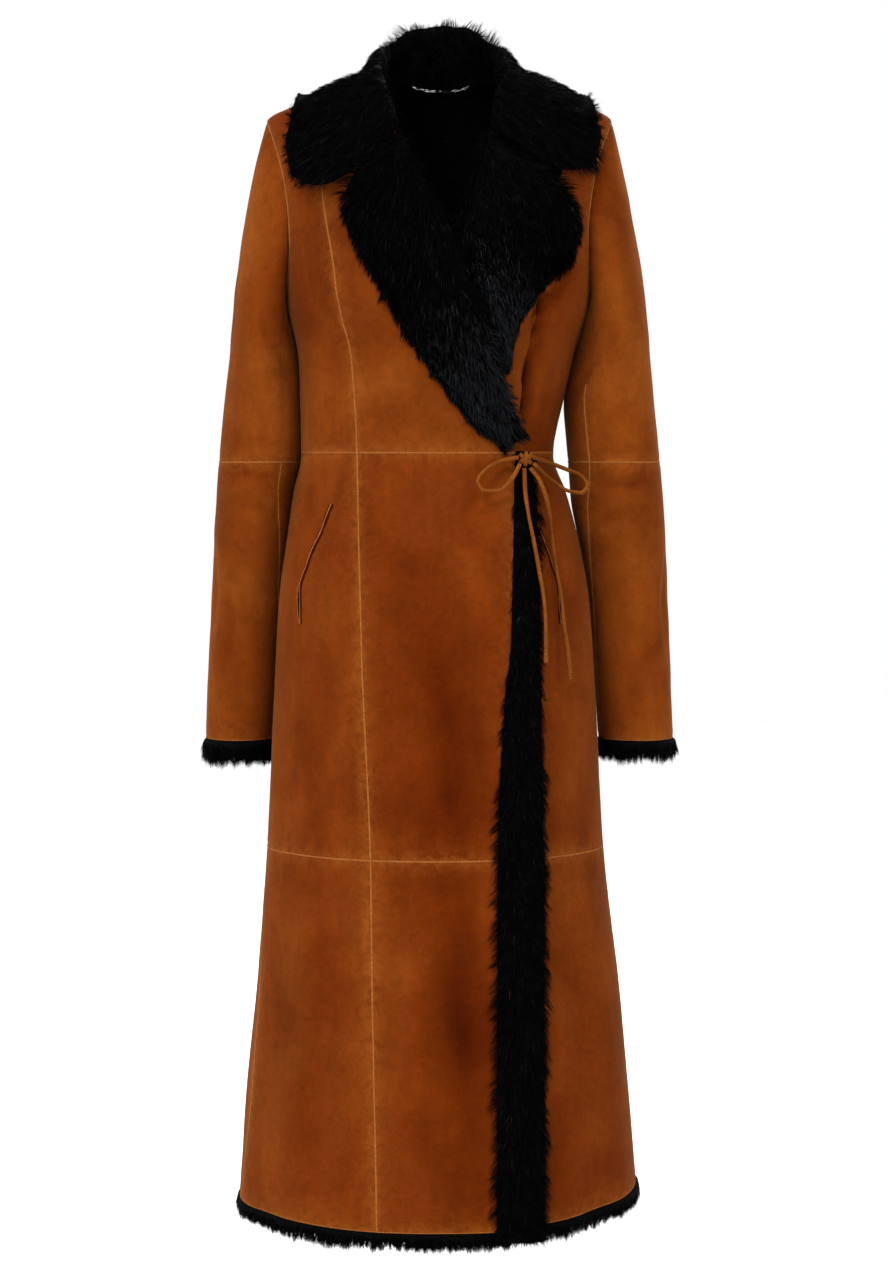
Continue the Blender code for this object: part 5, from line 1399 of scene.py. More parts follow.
def resting(side, turn, z):
    """How far the sleeve's inner side swells to reach the body."""
    begins, full, still, ends = TOUCHING[NAMES[side]]
    share = smoothstep(z, begins, full) * smoothstep(z, ends, still)
    inner = np.clip(np.cos(np.radians(turn - 180)), 0, 1) ** 2
    return (SLEEVE[NAMES[side] + "_gap"](z) + PRESSED) * share * inner


def sleeve_relief(side, turn, points):
    """How far the sleeve's skin stands out from its plain surface."""
    z = points[..., 2]
    round_it = np.radians((turn + 180) % 360 - 180) * SLEEVE_RADIUS
    table = [
        (math.radians(turn0) * SLEEVE_RADIUS, z0, math.radians(turn1) * SLEEVE_RADIUS, z1, half_width, most)
        for turn0, z0, turn1, z1, half_width, most in SLEEVE_CREASES
    ]
    depth = crease_depth(round_it, z + SLEEVE_CREASE_SHIFT[side], table)
    calm = SLEEVE_INNER_CALM + (1 - SLEEVE_INNER_CALM) * (0.5 + 0.5 * np.cos(np.radians(turn)))
    soft = sum(noise_layer(points, *layer) for layer in SLEEVE_UNEVEN[side])
    return -depth + soft * calm + resting(side, turn, z)


def draw_in(layer, gap):
    """The layer with its edges moved in by gap, towards the next row or column."""
    layer = layer.copy()
    layer[0] += unit(layer[1] - layer[0]) * gap
    layer[-1] += unit(layer[-2] - layer[-1]) * gap
    layer[:, 0] += unit(layer[:, 1] - layer[:, 0]) * gap
    layer[:, -1] += unit(layer[:, -2] - layer[:, -1]) * gap
    return layer


def from_border(points):
    """Each point's distance from the grid's nearest edge."""
    def both_ways(rows):
        reach = np.concatenate([np.zeros((1, rows.shape[1])), np.cumsum(steps(rows), axis=0)])
        return np.minimum(reach, reach[-1] - reach)
    return np.minimum(both_ways(points), both_ways(points.transpose(1, 0, 2)).T)


def seam_shows(node, z):
    """0 at the heights where the panel's seam is hidden, 1 elsewhere."""
    low, high = UNRUBBED.get(node, (0, 0))
    above_low = smoothstep(z, low - UNRUBBED_FADE, low + UNRUBBED_LOW_FADE)
    return 1 - above_low * smoothstep(-z, -high - UNRUBBED_FADE, -high + UNRUBBED_FADE)


def tone_of(node, points, relief):
    """How light the skin is: panel's tone, streaks, and painted light and shade on folds, in patches and by
    the body.
    """
    x, y, z = np.moveaxis(points, -1, 0)
    tone = next((value for start, value in TONES.items() if node.startswith(start)), PLAIN_TONE)
    for layer in TONE_UNEVEN:
        tone = tone + noise_layer(points, *layer)
    # Painted shade in creases and painted light on ridges
    tone = tone + SHADING_OF_RELIEF * np.clip(relief, *SHADED_RELIEF)
    if node.startswith("front"):
        # Deeper painted shade in the fronts' deepest folds
        tone = tone - SHADE_OF_DEEP_FOLD * np.clip(-relief - DEEP_FOLD, 0, DEEP_FOLD_RANGE)
        # Painted light and shade in patches
        for x0, z0, wide, high, lighter in LIGHT_AND_SHADE_PATCHES:
            tone = tone + lighter * np.exp(-(((x - x0) / wide) ** 2 + ((z - z0) / high) ** 2))
    # Painted shade on a sleeve where it lies close to the body
    if node.startswith("sleeve"):
        name = node.split("_")[-1]
        gap = SIDES[name] * x - body_side_x(SIDES[name], y, z)
        tone = tone - CONTACT_SHADE[name] * np.exp(-np.maximum(gap, 0) / CONTACT_SHADE_REACH)
    return (np.clip(tone, LOWEST_TONE, 1) - LOWEST_TONE) / (1 - LOWEST_TONE)


def cloth(node, base, normal, relief, finishes, lining):
    """A shell of shearling on a grid of points: skin outside, its cut edge round it, pile inside.

    lining gives the places of some of the pile's points: (rows, columns, points). The shell's flat width and
    length are worked out, and not used.
    """
    rows, cols = base.shape[:2]
    off = from_border(base)
    pucker = PUCKER_HEIGHT * soft_noise(base, PUCKER_SIZE, PUCKER_SEED)
    pucker = pucker * np.exp(-((off - PUCKER_FROM_EDGE) / PUCKER_REACH) ** 2)
    pucker = pucker * smoothstep(off, 0.0, PUCKER_FREE)
    dip = EDGE_DIP * np.exp(-(off / EDGE_DIP_REACH) ** 2)
    outer = base + normal * (relief + pucker - dip)[..., None]
    inner = outer - normal * WALL
    for at_rows, at_columns, points in lining:
        inner[at_rows, at_columns] = points
    outer, inner = draw_in(outer, SEAM_GAP / 2), draw_in(inner, SEAM_GAP / 2)
    SHELLS[node] = (outer, normal)

    edge = border(rows, cols)
    outside, inside = outer.reshape(-1, 3), inner.reshape(-1, 3)
    skin = outside[edge] * (1 - SKIN / WALL) + inside[edge] * (SKIN / WALL)
    k, after = round_trip(len(edge))
    layer = rows * cols
    below = layer + len(edge)
    faces = [
        grid_faces(rows, cols),
        np.stack([edge, layer + k, layer + after, edge[after]], -1),
        np.stack([layer + k, below + edge, below + edge[after], layer + after], -1),
        grid_faces(rows, cols, below, flip=True),
    ]
    facing = np.sum(np.cross(outer[1, 0] - outer[0, 0], outer[0, 1] - outer[0, 0]) * normal[0, 0])
    if facing > 0:
        faces = [f[:, ::-1] for f in faces]
    elsewhere = np.zeros(below)
    rubbed = RUBBED * np.exp(-off / RUBBED_REACH) * seam_shows(node, base[..., 2])
    made = mesh_object(
        node + "_shell", np.concatenate([outside, skin, inside]), faces, finishes, [0, 1, 2, 2],
        sharp=CLOTH_SHARP,
        rubbed=np.concatenate([rubbed.ravel(), elsewhere]),
        tone=np.concatenate([tone_of(node, base, relief).ravel(), elsewhere]),
    )
    wear(made, "suede", node)
    width = float(steps(base, axis=1).sum(axis=1).max())
    length = float(steps(base).sum(axis=0).max())


def body_panel(node, lines, counts, finishes, face, edges_on_armhole):
    """A panel of the body between lines. Its edges on an armhole are given as (column, side, facing)."""
    angle, z = grid_between(lines, counts)
    base, normal = face(angle, z), normal_of(face, angle, z)
    relief = body_relief(body(angle, z))
    rows = np.arange(len(base) - UPPER_BODICE_ROWS - 1, len(base))
    turn = np.linspace(180, 0, UPPER_BODICE_ROWS + 1)
    shift = normal * relief[..., None]
    lining = [
        (rows, column, armhole_miter(side, turn * facing) + shift[rows, column])
        for column, side, facing in edges_on_armhole
    ]
    cloth(node, base, normal, relief, finishes, lining)


def panels(finishes):
    level = np.concatenate([
        np.linspace(0, 1, LOWER_BODICE_ROWS, endpoint=False),
        np.linspace(1, 2, UPPER_BODICE_ROWS + 1),
    ])
    for tier, lines in (
        ("bodice", bodice_lines(level)),
        ("skirt", skirt_lines(np.linspace(KNEE_Z, WAIST_Z, SKIRT_FINE_ROWS + 1))),
        ("lower_skirt", skirt_lines(np.linspace(HEM_Z, KNEE_Z, LOWER_SKIRT_FINE_ROWS + 1))),
    ):
        at_armholes = tier == "bodice"
        for name, side in SIDES.items():
            side_seam, princess, edge = [lines[f"{name}_{line}"] for line in ("side", "princess", "edge")]
            body_panel(f"front_side_{tier}_{name}", [side_seam, princess], [FRONT_SIDE_COLUMNS],
                       finishes, FACES[side], [(0, side, 1)] if at_armholes else [])
            body_panel(f"front_centre_{tier}_{name}", [princess, edge], [FRONT_CENTRE_COLUMNS],
                       finishes, FACES[side], [])
        body_panel(f"back_{tier}", back_lines(lines), BACK_FINE_COLUMNS,
                   finishes, body, [(0, 1, -1), (-1, -1, -1)] if at_armholes else [])


def sleeves(finishes):
    elbow = 1 + (ELBOW_Z - SLEEVE_TOP_Z) / (CUFF_Z - SLEEVE_TOP_Z)
    cap, below_cap = np.linspace(0, 1, CAP_FINE_ROWS + 1), np.linspace(1, elbow, UPPER_SLEEVE_FINE + 1)
    lengthways = {
        "upper": np.concatenate([cap, below_cap[1:]]),
        "forearm": np.linspace(elbow, 2, FOREARM_FINE + 1),
    }
    for name, side in SIDES.items():
        for part, along in lengthways.items():
            cap_z = blend(SHOULDER_TIP_Z, SLEEVE_TOP_Z, along)
            z = np.where(along < 1, cap_z, blend(SLEEVE_TOP_Z, CUFF_Z, along - 1))
            for kind, count in SLEEVE_COLUMNS.items():
                turn = sleeve_turns(z, kind == "under", count)
                where = np.broadcast_to(along[:, None], turn.shape)
                base, normal = sleeve(side, turn, where), sleeve_normal(side, turn, where)
                free = smoothstep(where, 0.0, CAP_HELD)
                relief = sleeve_relief(side, turn, base) * free
                lining = []
                if part == "upper":
                    edge = armhole(side, turn[0])
                    shift = normal_of(body, *edge) * body_relief(body(*edge))[:, None]
                    base = base + shift[None] * (1 - free)[..., None]
                    lining.append((0, slice(None), armhole_miter(side, turn[0] % 360) + shift))
                cloth(f"sleeve_{part}_{kind}_{name}", base, normal, relief, finishes, lining)


# ================================================================ seams

SEAM_WIDTH, SEAM_HEIGHT = 0.0014, 0.0008
SEAM_SECTION = ((-0.5, -1), (0.8, -1), (0.8, 0.25), (0.1, 1), (-0.35, 0.9), (-0.5, 0.2))
TRIM_WIDTH = 0.0014
TRIM_SECTION = ((-0.30, -1), (0.55, -1), (0.55, 0.20), (0.15, 0.32), (-0.30, 0))
STRIP_UNEVEN, STRIP_UNEVEN_SIZE = 0.22, 0.004
LAPPED_SEED, OPEN_SEED = 21, 22
STITCH_OFF = 0.0026
STITCH_PITCH = 0.0036
STITCH_LENGTH = 0.0024
STITCH_THICK = 0.00040
STITCH_STANDS = 0.45  # of its thickness
STITCH_SHAPE = (  # along, across and out: its ends, and the four corners of two rings between them
    (-0.5, 0, 0),
    (-0.28, 1, 0), (-0.28, 0, 1), (-0.28, -1, 0), (-0.28, 0, -1),
    (0.28, 1, 0), (0.28, 0, 1), (0.28, -1, 0), (0.28, 0, -1),
    (0.5, 0, 0),
)

# Which edge of which panels lies uppermost along each seam
SEAMS = (
    ("last_row", "front_side_skirt_{s} front_centre_skirt_{s}"),
    ("last_row", "front_side_lower_skirt_{s} front_centre_lower_skirt_{s}"),
    ("first_column", "front_centre_bodice_{s} front_centre_skirt_{s} front_centre_lower_skirt_{s}"),
    ("first_column", "front_side_bodice_{s} front_side_skirt_{s} front_side_lower_skirt_{s}"),
    ("first_column", "sleeve_upper_top_{s}"),
    ("last_column", "sleeve_upper_top_{s}"),
    ("first_column", "sleeve_forearm_top_{s}"),
    ("last_column", "sleeve_forearm_top_{s}"),
    ("first_row", "sleeve_forearm_top_{s} sleeve_forearm_under_{s}"),
)
BACK_SEAMS = (("last_row", "back_skirt back_lower_skirt back_bodice"),)
OPEN_EDGES = (
    ("last_column", "front_centre_skirt_right front_centre_lower_skirt_right"),
    ("first_row", "front_side_lower_skirt_right front_centre_lower_skirt_right"),
    ("first_row", "front_side_lower_skirt_left front_centre_lower_skirt_left back_lower_skirt"),
    ("last_row", "sleeve_forearm_top_right sleeve_forearm_under_right"),
    ("last_row", "sleeve_forearm_top_left sleeve_forearm_under_left"),
)


def listed(table, side=""):
    """(node, edge) for each entry of the table."""
    return [(node, edge) for edge, nodes in table for node in nodes.format(s=side).split()]


def edge_of(node, edge):
    """(points, the way into the panel, normals) along one edge of a shell."""
    outer, normal = SHELLS[node]
    if edge.endswith("column"):
        outer, normal = outer.swapaxes(0, 1), normal.swapaxes(0, 1)
    at, inner = (0, 1) if edge.startswith("first") else (-1, -2)
    return outer[at], unit(outer[inner] - outer[at]), normal[at]


def all_seams():
    """The lines where one panel's cut edge lies over the next panel, as far as they show."""
    found = []
    for side in SIDES:
        for node, edge in listed(SEAMS, side):
            line = edge_of(node, edge)
            low, high = HIDDEN_SEAMS.get((node, edge), (0, 0))
            z = line[0][:, 2]
            for shown in (z > high, z < low):
                if np.sum(shown) > 1:
                    found.append([values[shown] for values in line])
    found += [edge_of(*place) for place in listed(BACK_SEAMS)]
    for edge in ("first_column", "last_column"):
        found.append([values[LOWER_BODICE_ROWS:] for values in edge_of("back_bodice", edge)])
    return found


def strip(points, inwards, normal, section, seed):
    """A closed ribbon along a seam. section: how far into the panel and how far out for each corner."""
    uneven = 1 + STRIP_UNEVEN * soft_noise(points, STRIP_UNEVEN_SIZE, seed)[:, None, None]
    section = np.asarray(section) * uneven
    rings = points[:, None] + inwards[:, None] * section[..., :1] + normal[:, None] * section[..., 1:]
    count, around = rings.shape[:2]
    k = np.arange(around)[None]
    faces = [grid_faces(count, around, round_it=True), k[:, ::-1], k + (count - 1) * around]
    lean = np.sum(np.cross(points[1] - points[0], inwards[0]) * normal[0])
    return rings.reshape(-1, 3), faces if lean > 0 else [f[:, ::-1] for f in faces]


def stitches(points, inwards, normal):
    """One row of stitches beside a seam, each a bead that is pointed at both ends."""
    line = points + inwards * STITCH_OFF + normal * STITCH_THICK * STITCH_STANDS
    length = lengths(line)
    count = max(2, int(length[-1] / STITCH_PITCH))
    at = (np.arange(count) + 0.5) * length[-1] / count
    middle = between(at, length, line)
    out = unit(between(at, length, normal))
    i = np.clip(np.searchsorted(length, at) - 1, 0, len(line) - 2)
    along = unit(line[i + 1] - line[i])
    across = np.cross(out, along)
    shape = np.array(STITCH_SHAPE) * (STITCH_LENGTH, STITCH_THICK / 2, STITCH_THICK / 2)
    found = (
        middle[:, None] + along[:, None] * shape[None, :, :1] + across[:, None] * shape[None, :, 1:2]
        + out[:, None] * shape[None, :, 2:]
    )
    k, after = round_trip(4)
    first, second, last = 1, 5, 9
    ends = np.concatenate([
        np.stack([np.zeros(4, int), first + after, first + k], -1),
        np.stack([np.full(4, last), second + k, second + after], -1),
    ])
    sides = np.stack([first + k, first + after, second + after, second + k], -1)
    start = (np.arange(count) * len(shape))[:, None, None]
    return found.reshape(-1, 3), [(sides[None] + start).reshape(-1, 4), (ends[None] + start).reshape(-1, 3)]


def seams(cut_edge, thread):
    lines = all_seams()
    section = np.array(SEAM_SECTION) * (SEAM_WIDTH, SEAM_HEIGHT)
    parts = [strip(*line, section, LAPPED_SEED) for line in lines]
    joined_piece("lapped_seam_edges", parts, cut_edge, CUT_SHARP, "suede")
    section = np.array(TRIM_SECTION) * TRIM_WIDTH
    parts = [strip(*edge_of(*place), section, OPEN_SEED) for place in listed(OPEN_EDGES)]
    joined_piece("open_cut_edges", parts, cut_edge, CUT_SHARP, "suede")
    joined_piece("seam_stitches", [stitches(*line) for line in lines], thread, NONE_SHARP, "suede")


# ================================================================ long pile

Pile = collections.namedtuple("Pile", "count shrink lift length width segments seed")
# For each piece: how many strands, how far the dense lower pile lies inside the form, how far out and
# along the strands reach, how wide they are, of how many parts, and the seed
PILES = {
    "collar": Pile(34000, 0.0042, 0.0050, 0.0122, 0.00062, 3, 101),
    "lapel_right": Pile(22000, 0.0042, 0.0054, 0.0130, 0.00062, 3, 119),
    "lapel_left": Pile(18000, 0.0042, 0.0054, 0.0130, 0.00062, 3, 121),
    "front_edge_pile": Pile(21000, 0.0030, 0.0042, 0.0128, 0.00060, 3, 140),
    "hem_pile_right": Pile(7500, 0.0012, 0.0014, 0.0105, 0.00062, 2, 160),
    "hem_pile_left": Pile(7500, 0.0012, 0.0014, 0.0105, 0.00062, 2, 161),
    "hem_pile_back": Pile(11000, 0.0012, 0.0014, 0.0105, 0.00062, 2, 162),
    "cuff_pile_right": Pile(8500, 0.0012, 0.0010, 0.0125, 0.00062, 2, 179),
    "cuff_pile_left": Pile(8500, 0.0012, 0.0010, 0.0125, 0.00062, 2, 181),
}
BASE_SUBDIVISIONS = 4
BASE_EASED, MASK_EASED = 2, 3
BASE_LUMPS = ((0.0016, 0.011), (0.0009, 0.005))  # height, size
PILE_UNEVEN = ((0.30, 0.014, 7), (0.18, 0.006, 8))  # share of the length, size, seed after the piece's
STRAND_SHARES = {2: (0.0, 0.50, 1.0), 3: (0.0, 0.34, 0.68, 1.0)}
STRAND_TAPER = {2: (1.0, 0.72), 3: (1.0, 0.85, 0.55)}
# Least and further random shares of a strand's length, its width and its pull to the clump's leader
STRAND_LENGTHS, STRAND_WIDTHS, STRAND_PULLS = (0.78, 0.36), (0.7, 0.5), (0.6, 0.6)
STRAY = 0.14
SIDE_STRAY = 0.45
MIDDLE_OUT, MIDDLE_ALONG, MIDDLE_STRAY = 0.80, 0.34, 0.3  # of the tip's
CLUMP_STRANDS = 26
CLUMP_PULL, CLUMP_MIDDLE_PULL = 0.62, 0.45
CLUMP_SPREAD, CLUMP_MIDDLE_SPREAD, CLUMP_STRAY = 0.30, 2.4, 0.35
SHADE_SHARES = (0.70, 0.95)
DOWN = np.array([0, 0, -1.0])


def eased(values, times, axis=0):
    """The values round a ring, each drawn towards its neighbours."""
    for _ in range(times):
        values = (np.roll(values, 1, axis) + 2 * values + np.roll(values, -1, axis)) / 4
    return values


def refined(rings):
    """The rings with each side of their section split and its corners eased."""
    after = np.roll(rings, -1, axis=1)
    split = [blend(rings, after, i / BASE_SUBDIVISIONS) for i in range(BASE_SUBDIVISIONS)]
    return eased(np.stack(split, axis=2).reshape(len(rings), -1, 3), BASE_EASED, axis=1)


def spread_mask(values):
    """A value for each corner of a section, spread to its finer corners."""
    return eased(np.repeat(np.asarray(values, float), BASE_SUBDIVISIONS), MASK_EASED)


def ring_normals(rings, closed=False):
    """Unit normals out of a loft of rings."""
    if closed:
        along = np.roll(rings, -1, axis=0) - np.roll(rings, 1, axis=0)
    else:
        along = np.gradient(rings, axis=0)
    around = np.roll(rings, -1, axis=1) - np.roll(rings, 1, axis=1)
    normal = unit(np.cross(along, around))
    out = rings - rings.mean(axis=1, keepdims=True)
    return normal * np.sign(np.sum(normal * out))


def loft(rings, closed=False):
    """(points, faces) round a loft of rings, whose ends are joined or closed by fans."""
    rows, cols = rings.shape[:2]
    points, faces = rings.reshape(-1, 3), [grid_faces(rows, cols, round_it=True)]
    k, after = round_trip(cols)
    last = (rows - 1) * cols
    if closed:
        faces.append(np.stack([last + k, last + after, after, k], -1))
    else:
        points = np.concatenate([points, [rings[0].mean(axis=0), rings[-1].mean(axis=0)]])
        first_fan = np.stack([np.full(cols, last + cols), after, k], -1)
        last_fan = np.stack([np.full(cols, last + cols + 1), last + k, last + after], -1)
        faces.append(np.concatenate([first_fan, last_fan]))
    normal = ring_normals(rings, closed)
    lean = np.cross(rings[0, 1] - rings[0, 0], rings[1, 0] - rings[0, 0]) @ normal[0, 0]
    return points, faces if lean > 0 else [f[:, ::-1] for f in faces]


def scattered(rng, count, fields, density, closed):
    """Roots spread over a loft: each field at them, and their shares of the rows and the columns.

    The first field is the loft's own points.
    """
    if closed:
        *fields, density = [np.concatenate([values, values[:1]]) for values in (*fields, density)]
    rings = fields[0]
    right = np.roll(rings, -1, axis=1)
    one = np.linalg.norm(np.cross(rings[1:] - rings[:-1], right[:-1] - rings[:-1]), axis=-1)
    weight = (one * (density[1:] + density[:-1]) / 2).ravel()
    chosen = rng.choice(len(weight), count, p=weight / weight.sum())
    r, c = np.divmod(chosen, one.shape[1])
    u, v = rng.random(count)[:, None], rng.random(count)[:, None]
    after = (c + 1) % rings.shape[1]
    found = [
        blend(blend(values[r, c], values[r + 1, c], u), blend(values[r, after], values[r + 1, after], u), v)
        for values in fields
    ]
    return found, (r + u[:, 0]) / (len(rings) - 1), (c + v[:, 0]) / rings.shape[1]


def between_random(rng, count, least, further):
    return least + further * rng.random(count)


def strands(name, roots, normal, flow, uneven, lit, finishes, pile, rng):
    """Strands of pile as narrow ribbons that leave along the normal and lie over along the flow.

    uneven is each strand's share of the lift and the length, and lit the share that catches the light.
    """
    count = len(roots)
    length, lift = pile.length * uneven, pile.lift * uneven
    own = between_random(rng, count, *STRAND_LENGTHS)
    stray = rng.normal(size=(count, 3)) * (STRAY * length)[:, None]
    tip = roots + normal * (lift * own)[:, None] + flow * (length * own)[:, None] + stray
    middle = roots + normal * (lift * MIDDLE_OUT)[:, None] + flow * (length * MIDDLE_ALONG)[:, None]
    middle = middle + stray * MIDDLE_STRAY

    leaders = np.flatnonzero(rng.random(count) < 1 / CLUMP_STRANDS)
    tree = kdtree.KDTree(len(leaders))
    for i, leader in enumerate(leaders):
        tree.insert(roots[leader], i)
    tree.balance()
    nearest = leaders[[tree.find(place)[1] for place in roots]]
    aside = (roots - roots[nearest]) * CLUMP_SPREAD
    pull = (CLUMP_PULL * between_random(rng, count, *STRAND_PULLS))[:, None]
    tip = blend(tip, tip[nearest] + aside + CLUMP_STRAY * stray, pull)
    middle = blend(middle, middle[nearest] + aside * CLUMP_MIDDLE_SPREAD, pull * CLUMP_MIDDLE_PULL)

    t = np.array(STRAND_SHARES[pile.segments])[None, :, None]
    line = (1 - t)**2 * roots[:, None] + 2 * t * (1 - t) * middle[:, None] + t**2 * tip[:, None]
    side = unit(np.cross(unit(tip - roots), normal) + rng.normal(size=(count, 3)) * SIDE_STRAY)[:, None]
    half = (pile.width * between_random(rng, count, *STRAND_WIDTHS))[:, None, None] / 2
    half = half * np.array(STRAND_TAPER[pile.segments])[None, :, None]
    ribbon = np.stack([line[:, :-1] - side * half, line[:, :-1] + side * half], axis=2)
    points = np.concatenate([ribbon.reshape(count, -1, 3), line[:, -1:]], axis=1)
    each = points.shape[1]
    start = (np.arange(count) * each)[:, None]
    quads = [start + [2 * i, 2 * i + 1, 2 * i + 3, 2 * i + 2] for i in range(pile.segments - 1)]
    tips = start + [each - 3, each - 2, each - 1]
    catches_light, shade = rng.random(count) < lit, np.searchsorted(SHADE_SHARES, rng.random(count))
    shade = np.where(catches_light, len(SHADE_SHARES) + 1, shade)
    return mesh_object(name, points.reshape(-1, 3), [*quads, tips], finishes, [shade] * pile.segments)


def long_pile(node, rings, mask, flow_of, finishes, closed=False, density=1.0, longer=None, rows_in=1,
              lit=None, folded=False):
    """A piece of long pile: its dense base and its strands, in place of the node.

    mask says for each corner of the section how far the base is drawn in and how thick the strands
    stand, and density thins the strands alone. longer(row, column) gives a strand's length as a share, by
    where it stands on the loft. rows_in says which rows of the loft carry strands; the others keep their
    form. lit(row, column) gives the share of strands that catch the light. For a folded piece, half of the
    widest ring round skin and pile and the length along the rings' middles are worked out, and not used.
    """
    pile = PILES[node]
    rng = np.random.default_rng(pile.seed)
    rings = refined(rings)
    normal = ring_normals(rings, closed)
    mask = np.broadcast_to(spread_mask(mask), rings.shape[:2]) * rows_in
    lumps = sum(
        soft_noise(rings, size, pile.seed + i) * height for i, (height, size) in enumerate(BASE_LUMPS)
    )
    drawn = rings - normal * ((pile.shrink - lumps) * mask)[..., None]
    base = wear(mesh_object(node + "_base", *loft(drawn, closed), finishes[:1]), "pile", node)

    fields = drawn, normal, flow_of(drawn, normal)
    (roots, out, way), row, column = scattered(rng, pile.count, fields, mask * density, closed)
    uneven = 1
    for share, size, seed in PILE_UNEVEN:
        uneven = uneven + share * soft_noise(roots, size, pile.seed + seed)
    if longer is not None:
        uneven = uneven * longer(row, column)
    lit = 0.0 if lit is None else lit(row, column)
    fur = strands(node + "_strands", roots, unit(out), way, uneven, lit, finishes[1:], pile, rng)
    wear(fur, "pile")
    if folded:
        half = steps(np.concatenate([rings, rings[:, :1]], axis=1), axis=1).sum(axis=1) / 2
        step = steps(rings.mean(axis=1))


# ---------------------------------------------------------------- collar

COLLAR_FINE_STEP = 0.125
COLLAR_BACK_STEPS = 4
COLLAR_MASK = (0, 0, 0, 0, 0, 0.8, 1.9, 1.5, 1, 1, 1, 1, 1, 1, 1, 0.8, 0.4, 0)
COLLAR_END_MARGIN = 0.004
NECK_LOOK = 0.25  # how far along the neck's edge its way is taken
UP = np.array([0.0, 0.0, 1.0])
# The strands' way: at the collar's ends outwards, and off the skin on the leaf's underside
COLLAR_END_SPREAD, COLLAR_END_SHARES = 0.9, (0.86, 1.0)
COLLAR_TIP_COLUMN, COLLAR_TIP_COLUMNS = 6.4, 1.2
COLLAR_TIP_OUT, COLLAR_TIP_UP = 0.9, 0.2
COLLAR_HANG = (0, 0, -0.10)
# Where the strands are longer or shorter: how much, at which share from the middle, and how wide
COLLAR_LENGTHS = ((-0.42, 0.55, 0.16), (0.35, 0.30, 0.07))
COLLAR_END_LONGER, COLLAR_LONGER_SHARES = 0.40, (0.90, 0.97)


def neck_at(side, at):
    """(outer, inner) points of the neck's edge. at: 0 middle of the back, 4 side of the neck, then down."""
    if at <= COLLAR_BACK_STEPS:
        share = at / COLLAR_BACK_STEPS
        angle, z, face = side * (180 - 90 * share), NAPE_Z * (1 - share), body
    else:
        angle, z = bodice_line("edge", side, 2 - (at - COLLAR_BACK_STEPS) / ARMHOLE_ROWS)
        face = FACES[side]
    outer = face(angle, z)
    return outer, outer - WALL * normal_of(face, angle, z)


def angle_of(point):
    """The angle round the body, without its sign, of a point on its face."""
    x, y, z = point
    depth = BODY["back"](z) if y > 0 else BODY["front"](z)
    across = signed_power(abs(x - BODY["centre_x"](z)) / BODY["half_width"](z), BODY_SQUARENESS / 2)
    along = signed_power(-y / depth, BODY_SQUARENESS / 2)
    return float(np.degrees(np.arctan2(across, along)))


def collar_half(side):
    """Sections of the collar from the middle of the back to its end on one front."""
    rows = bodice_line("edge", side, 2 - np.arange(1, ARMHOLE_ROWS + 1) / ARMHOLE_ROWS)[1]
    last = COLLAR_BACK_STEPS + int(np.sum(rows > COLLAR_END_Z - COLLAR_END_MARGIN))
    sections = []
    for at in np.arange(0, last + COLLAR_FINE_STEP / 2, COLLAR_FINE_STEP):
        share = np.interp(at, (0, COLLAR_BACK_STEPS, last), (0, COLLAR_SIDE_SHARE, 1))
        row = {name: float(curve(share)) for name, curve in COLLAR.items()}
        front = float(smoothstep(share, COLLAR_SIDE_SHARE, 1.0))
        if side > 0:
            wider = float(smoothstep(share, *LEFT_WIDER_SHARES))
            row["edge_x"] += LEFT_WIDER * wider
            row["pile"] += LEFT_THICKER * wider * (1 - front)
            row["edge_z"] += LEFT_CORNER_LIFT * front
            row["sag"] *= LEFT_SAG_SHARE
        turned = angle_at(BODY["centre_x"](row["edge_z"]) + row["edge_x"], row["edge_z"])
        row["edge_angle"] = float(turned if share > COLLAR_SIDE_SHARE else 180 - turned)
        if at == COLLAR_BACK_STEPS:
            row["edge_angle"] = 90.0
        along = neck_at(side, min(at + NECK_LOOK, last))[0] - neck_at(side, max(at - NECK_LOOK, 0))[0]
        sections.append(collar_section(side, *neck_at(side, at), row, front, along))
    return np.array(sections)


def collar_section(side, neck, neck_in, row, front, along):
    """One closed section: up the stand's inside, over the fold and down to the leaf's edge."""
    inward = unit(np.array([-neck[0], NECK_CENTRE_Y - neck[1], 0.0]))
    out_of_face = unit(neck - neck_in)
    lift = unit(np.cross(along, out_of_face))
    lift = lift if lift[2] > 0 else -lift
    pile, lean, stand = row["pile"], row["lean"], row["stand"]
    neck_angle, face = angle_of(neck), FACES[side]
    under, top = [], []
    for share, thick in COLLAR_LEAF:
        angle = blend(neck_angle, row["edge_angle"], share) * side
        z = blend(neck[2], row["edge_z"], share) - row["sag"] * 4 * share * (1 - share)
        base, out = face(angle, z), normal_of(face, angle, z)
        under.append(base + out * LEAF_SEAT)
        top.append(base + out * pile * thick)
    edge_way = unit(under[-1] - under[-2])
    tip = (under[-1] + top[-1]) / 2 + edge_way * pile * COLLAR_TIP_REACH
    standing = [
        neck_in + inward * (lean * of_lean + inwards) + UP * (stand * of_stand + higher) + lift * off
        for of_lean, inwards, of_stand, higher, off in COLLAR_STAND
    ]
    rolled = [
        (neck if outer else neck_in) + lift * off + out_of_face * away
        for outer, off, away in COLLAR_ROLL
    ]
    fold = [blend(a, b, front) for a, b in zip(standing, rolled)]
    return [neck + lift * COLLAR_LIFT, *under, tip, *top[::-1], *fold, neck_in + lift * COLLAR_LIFT]


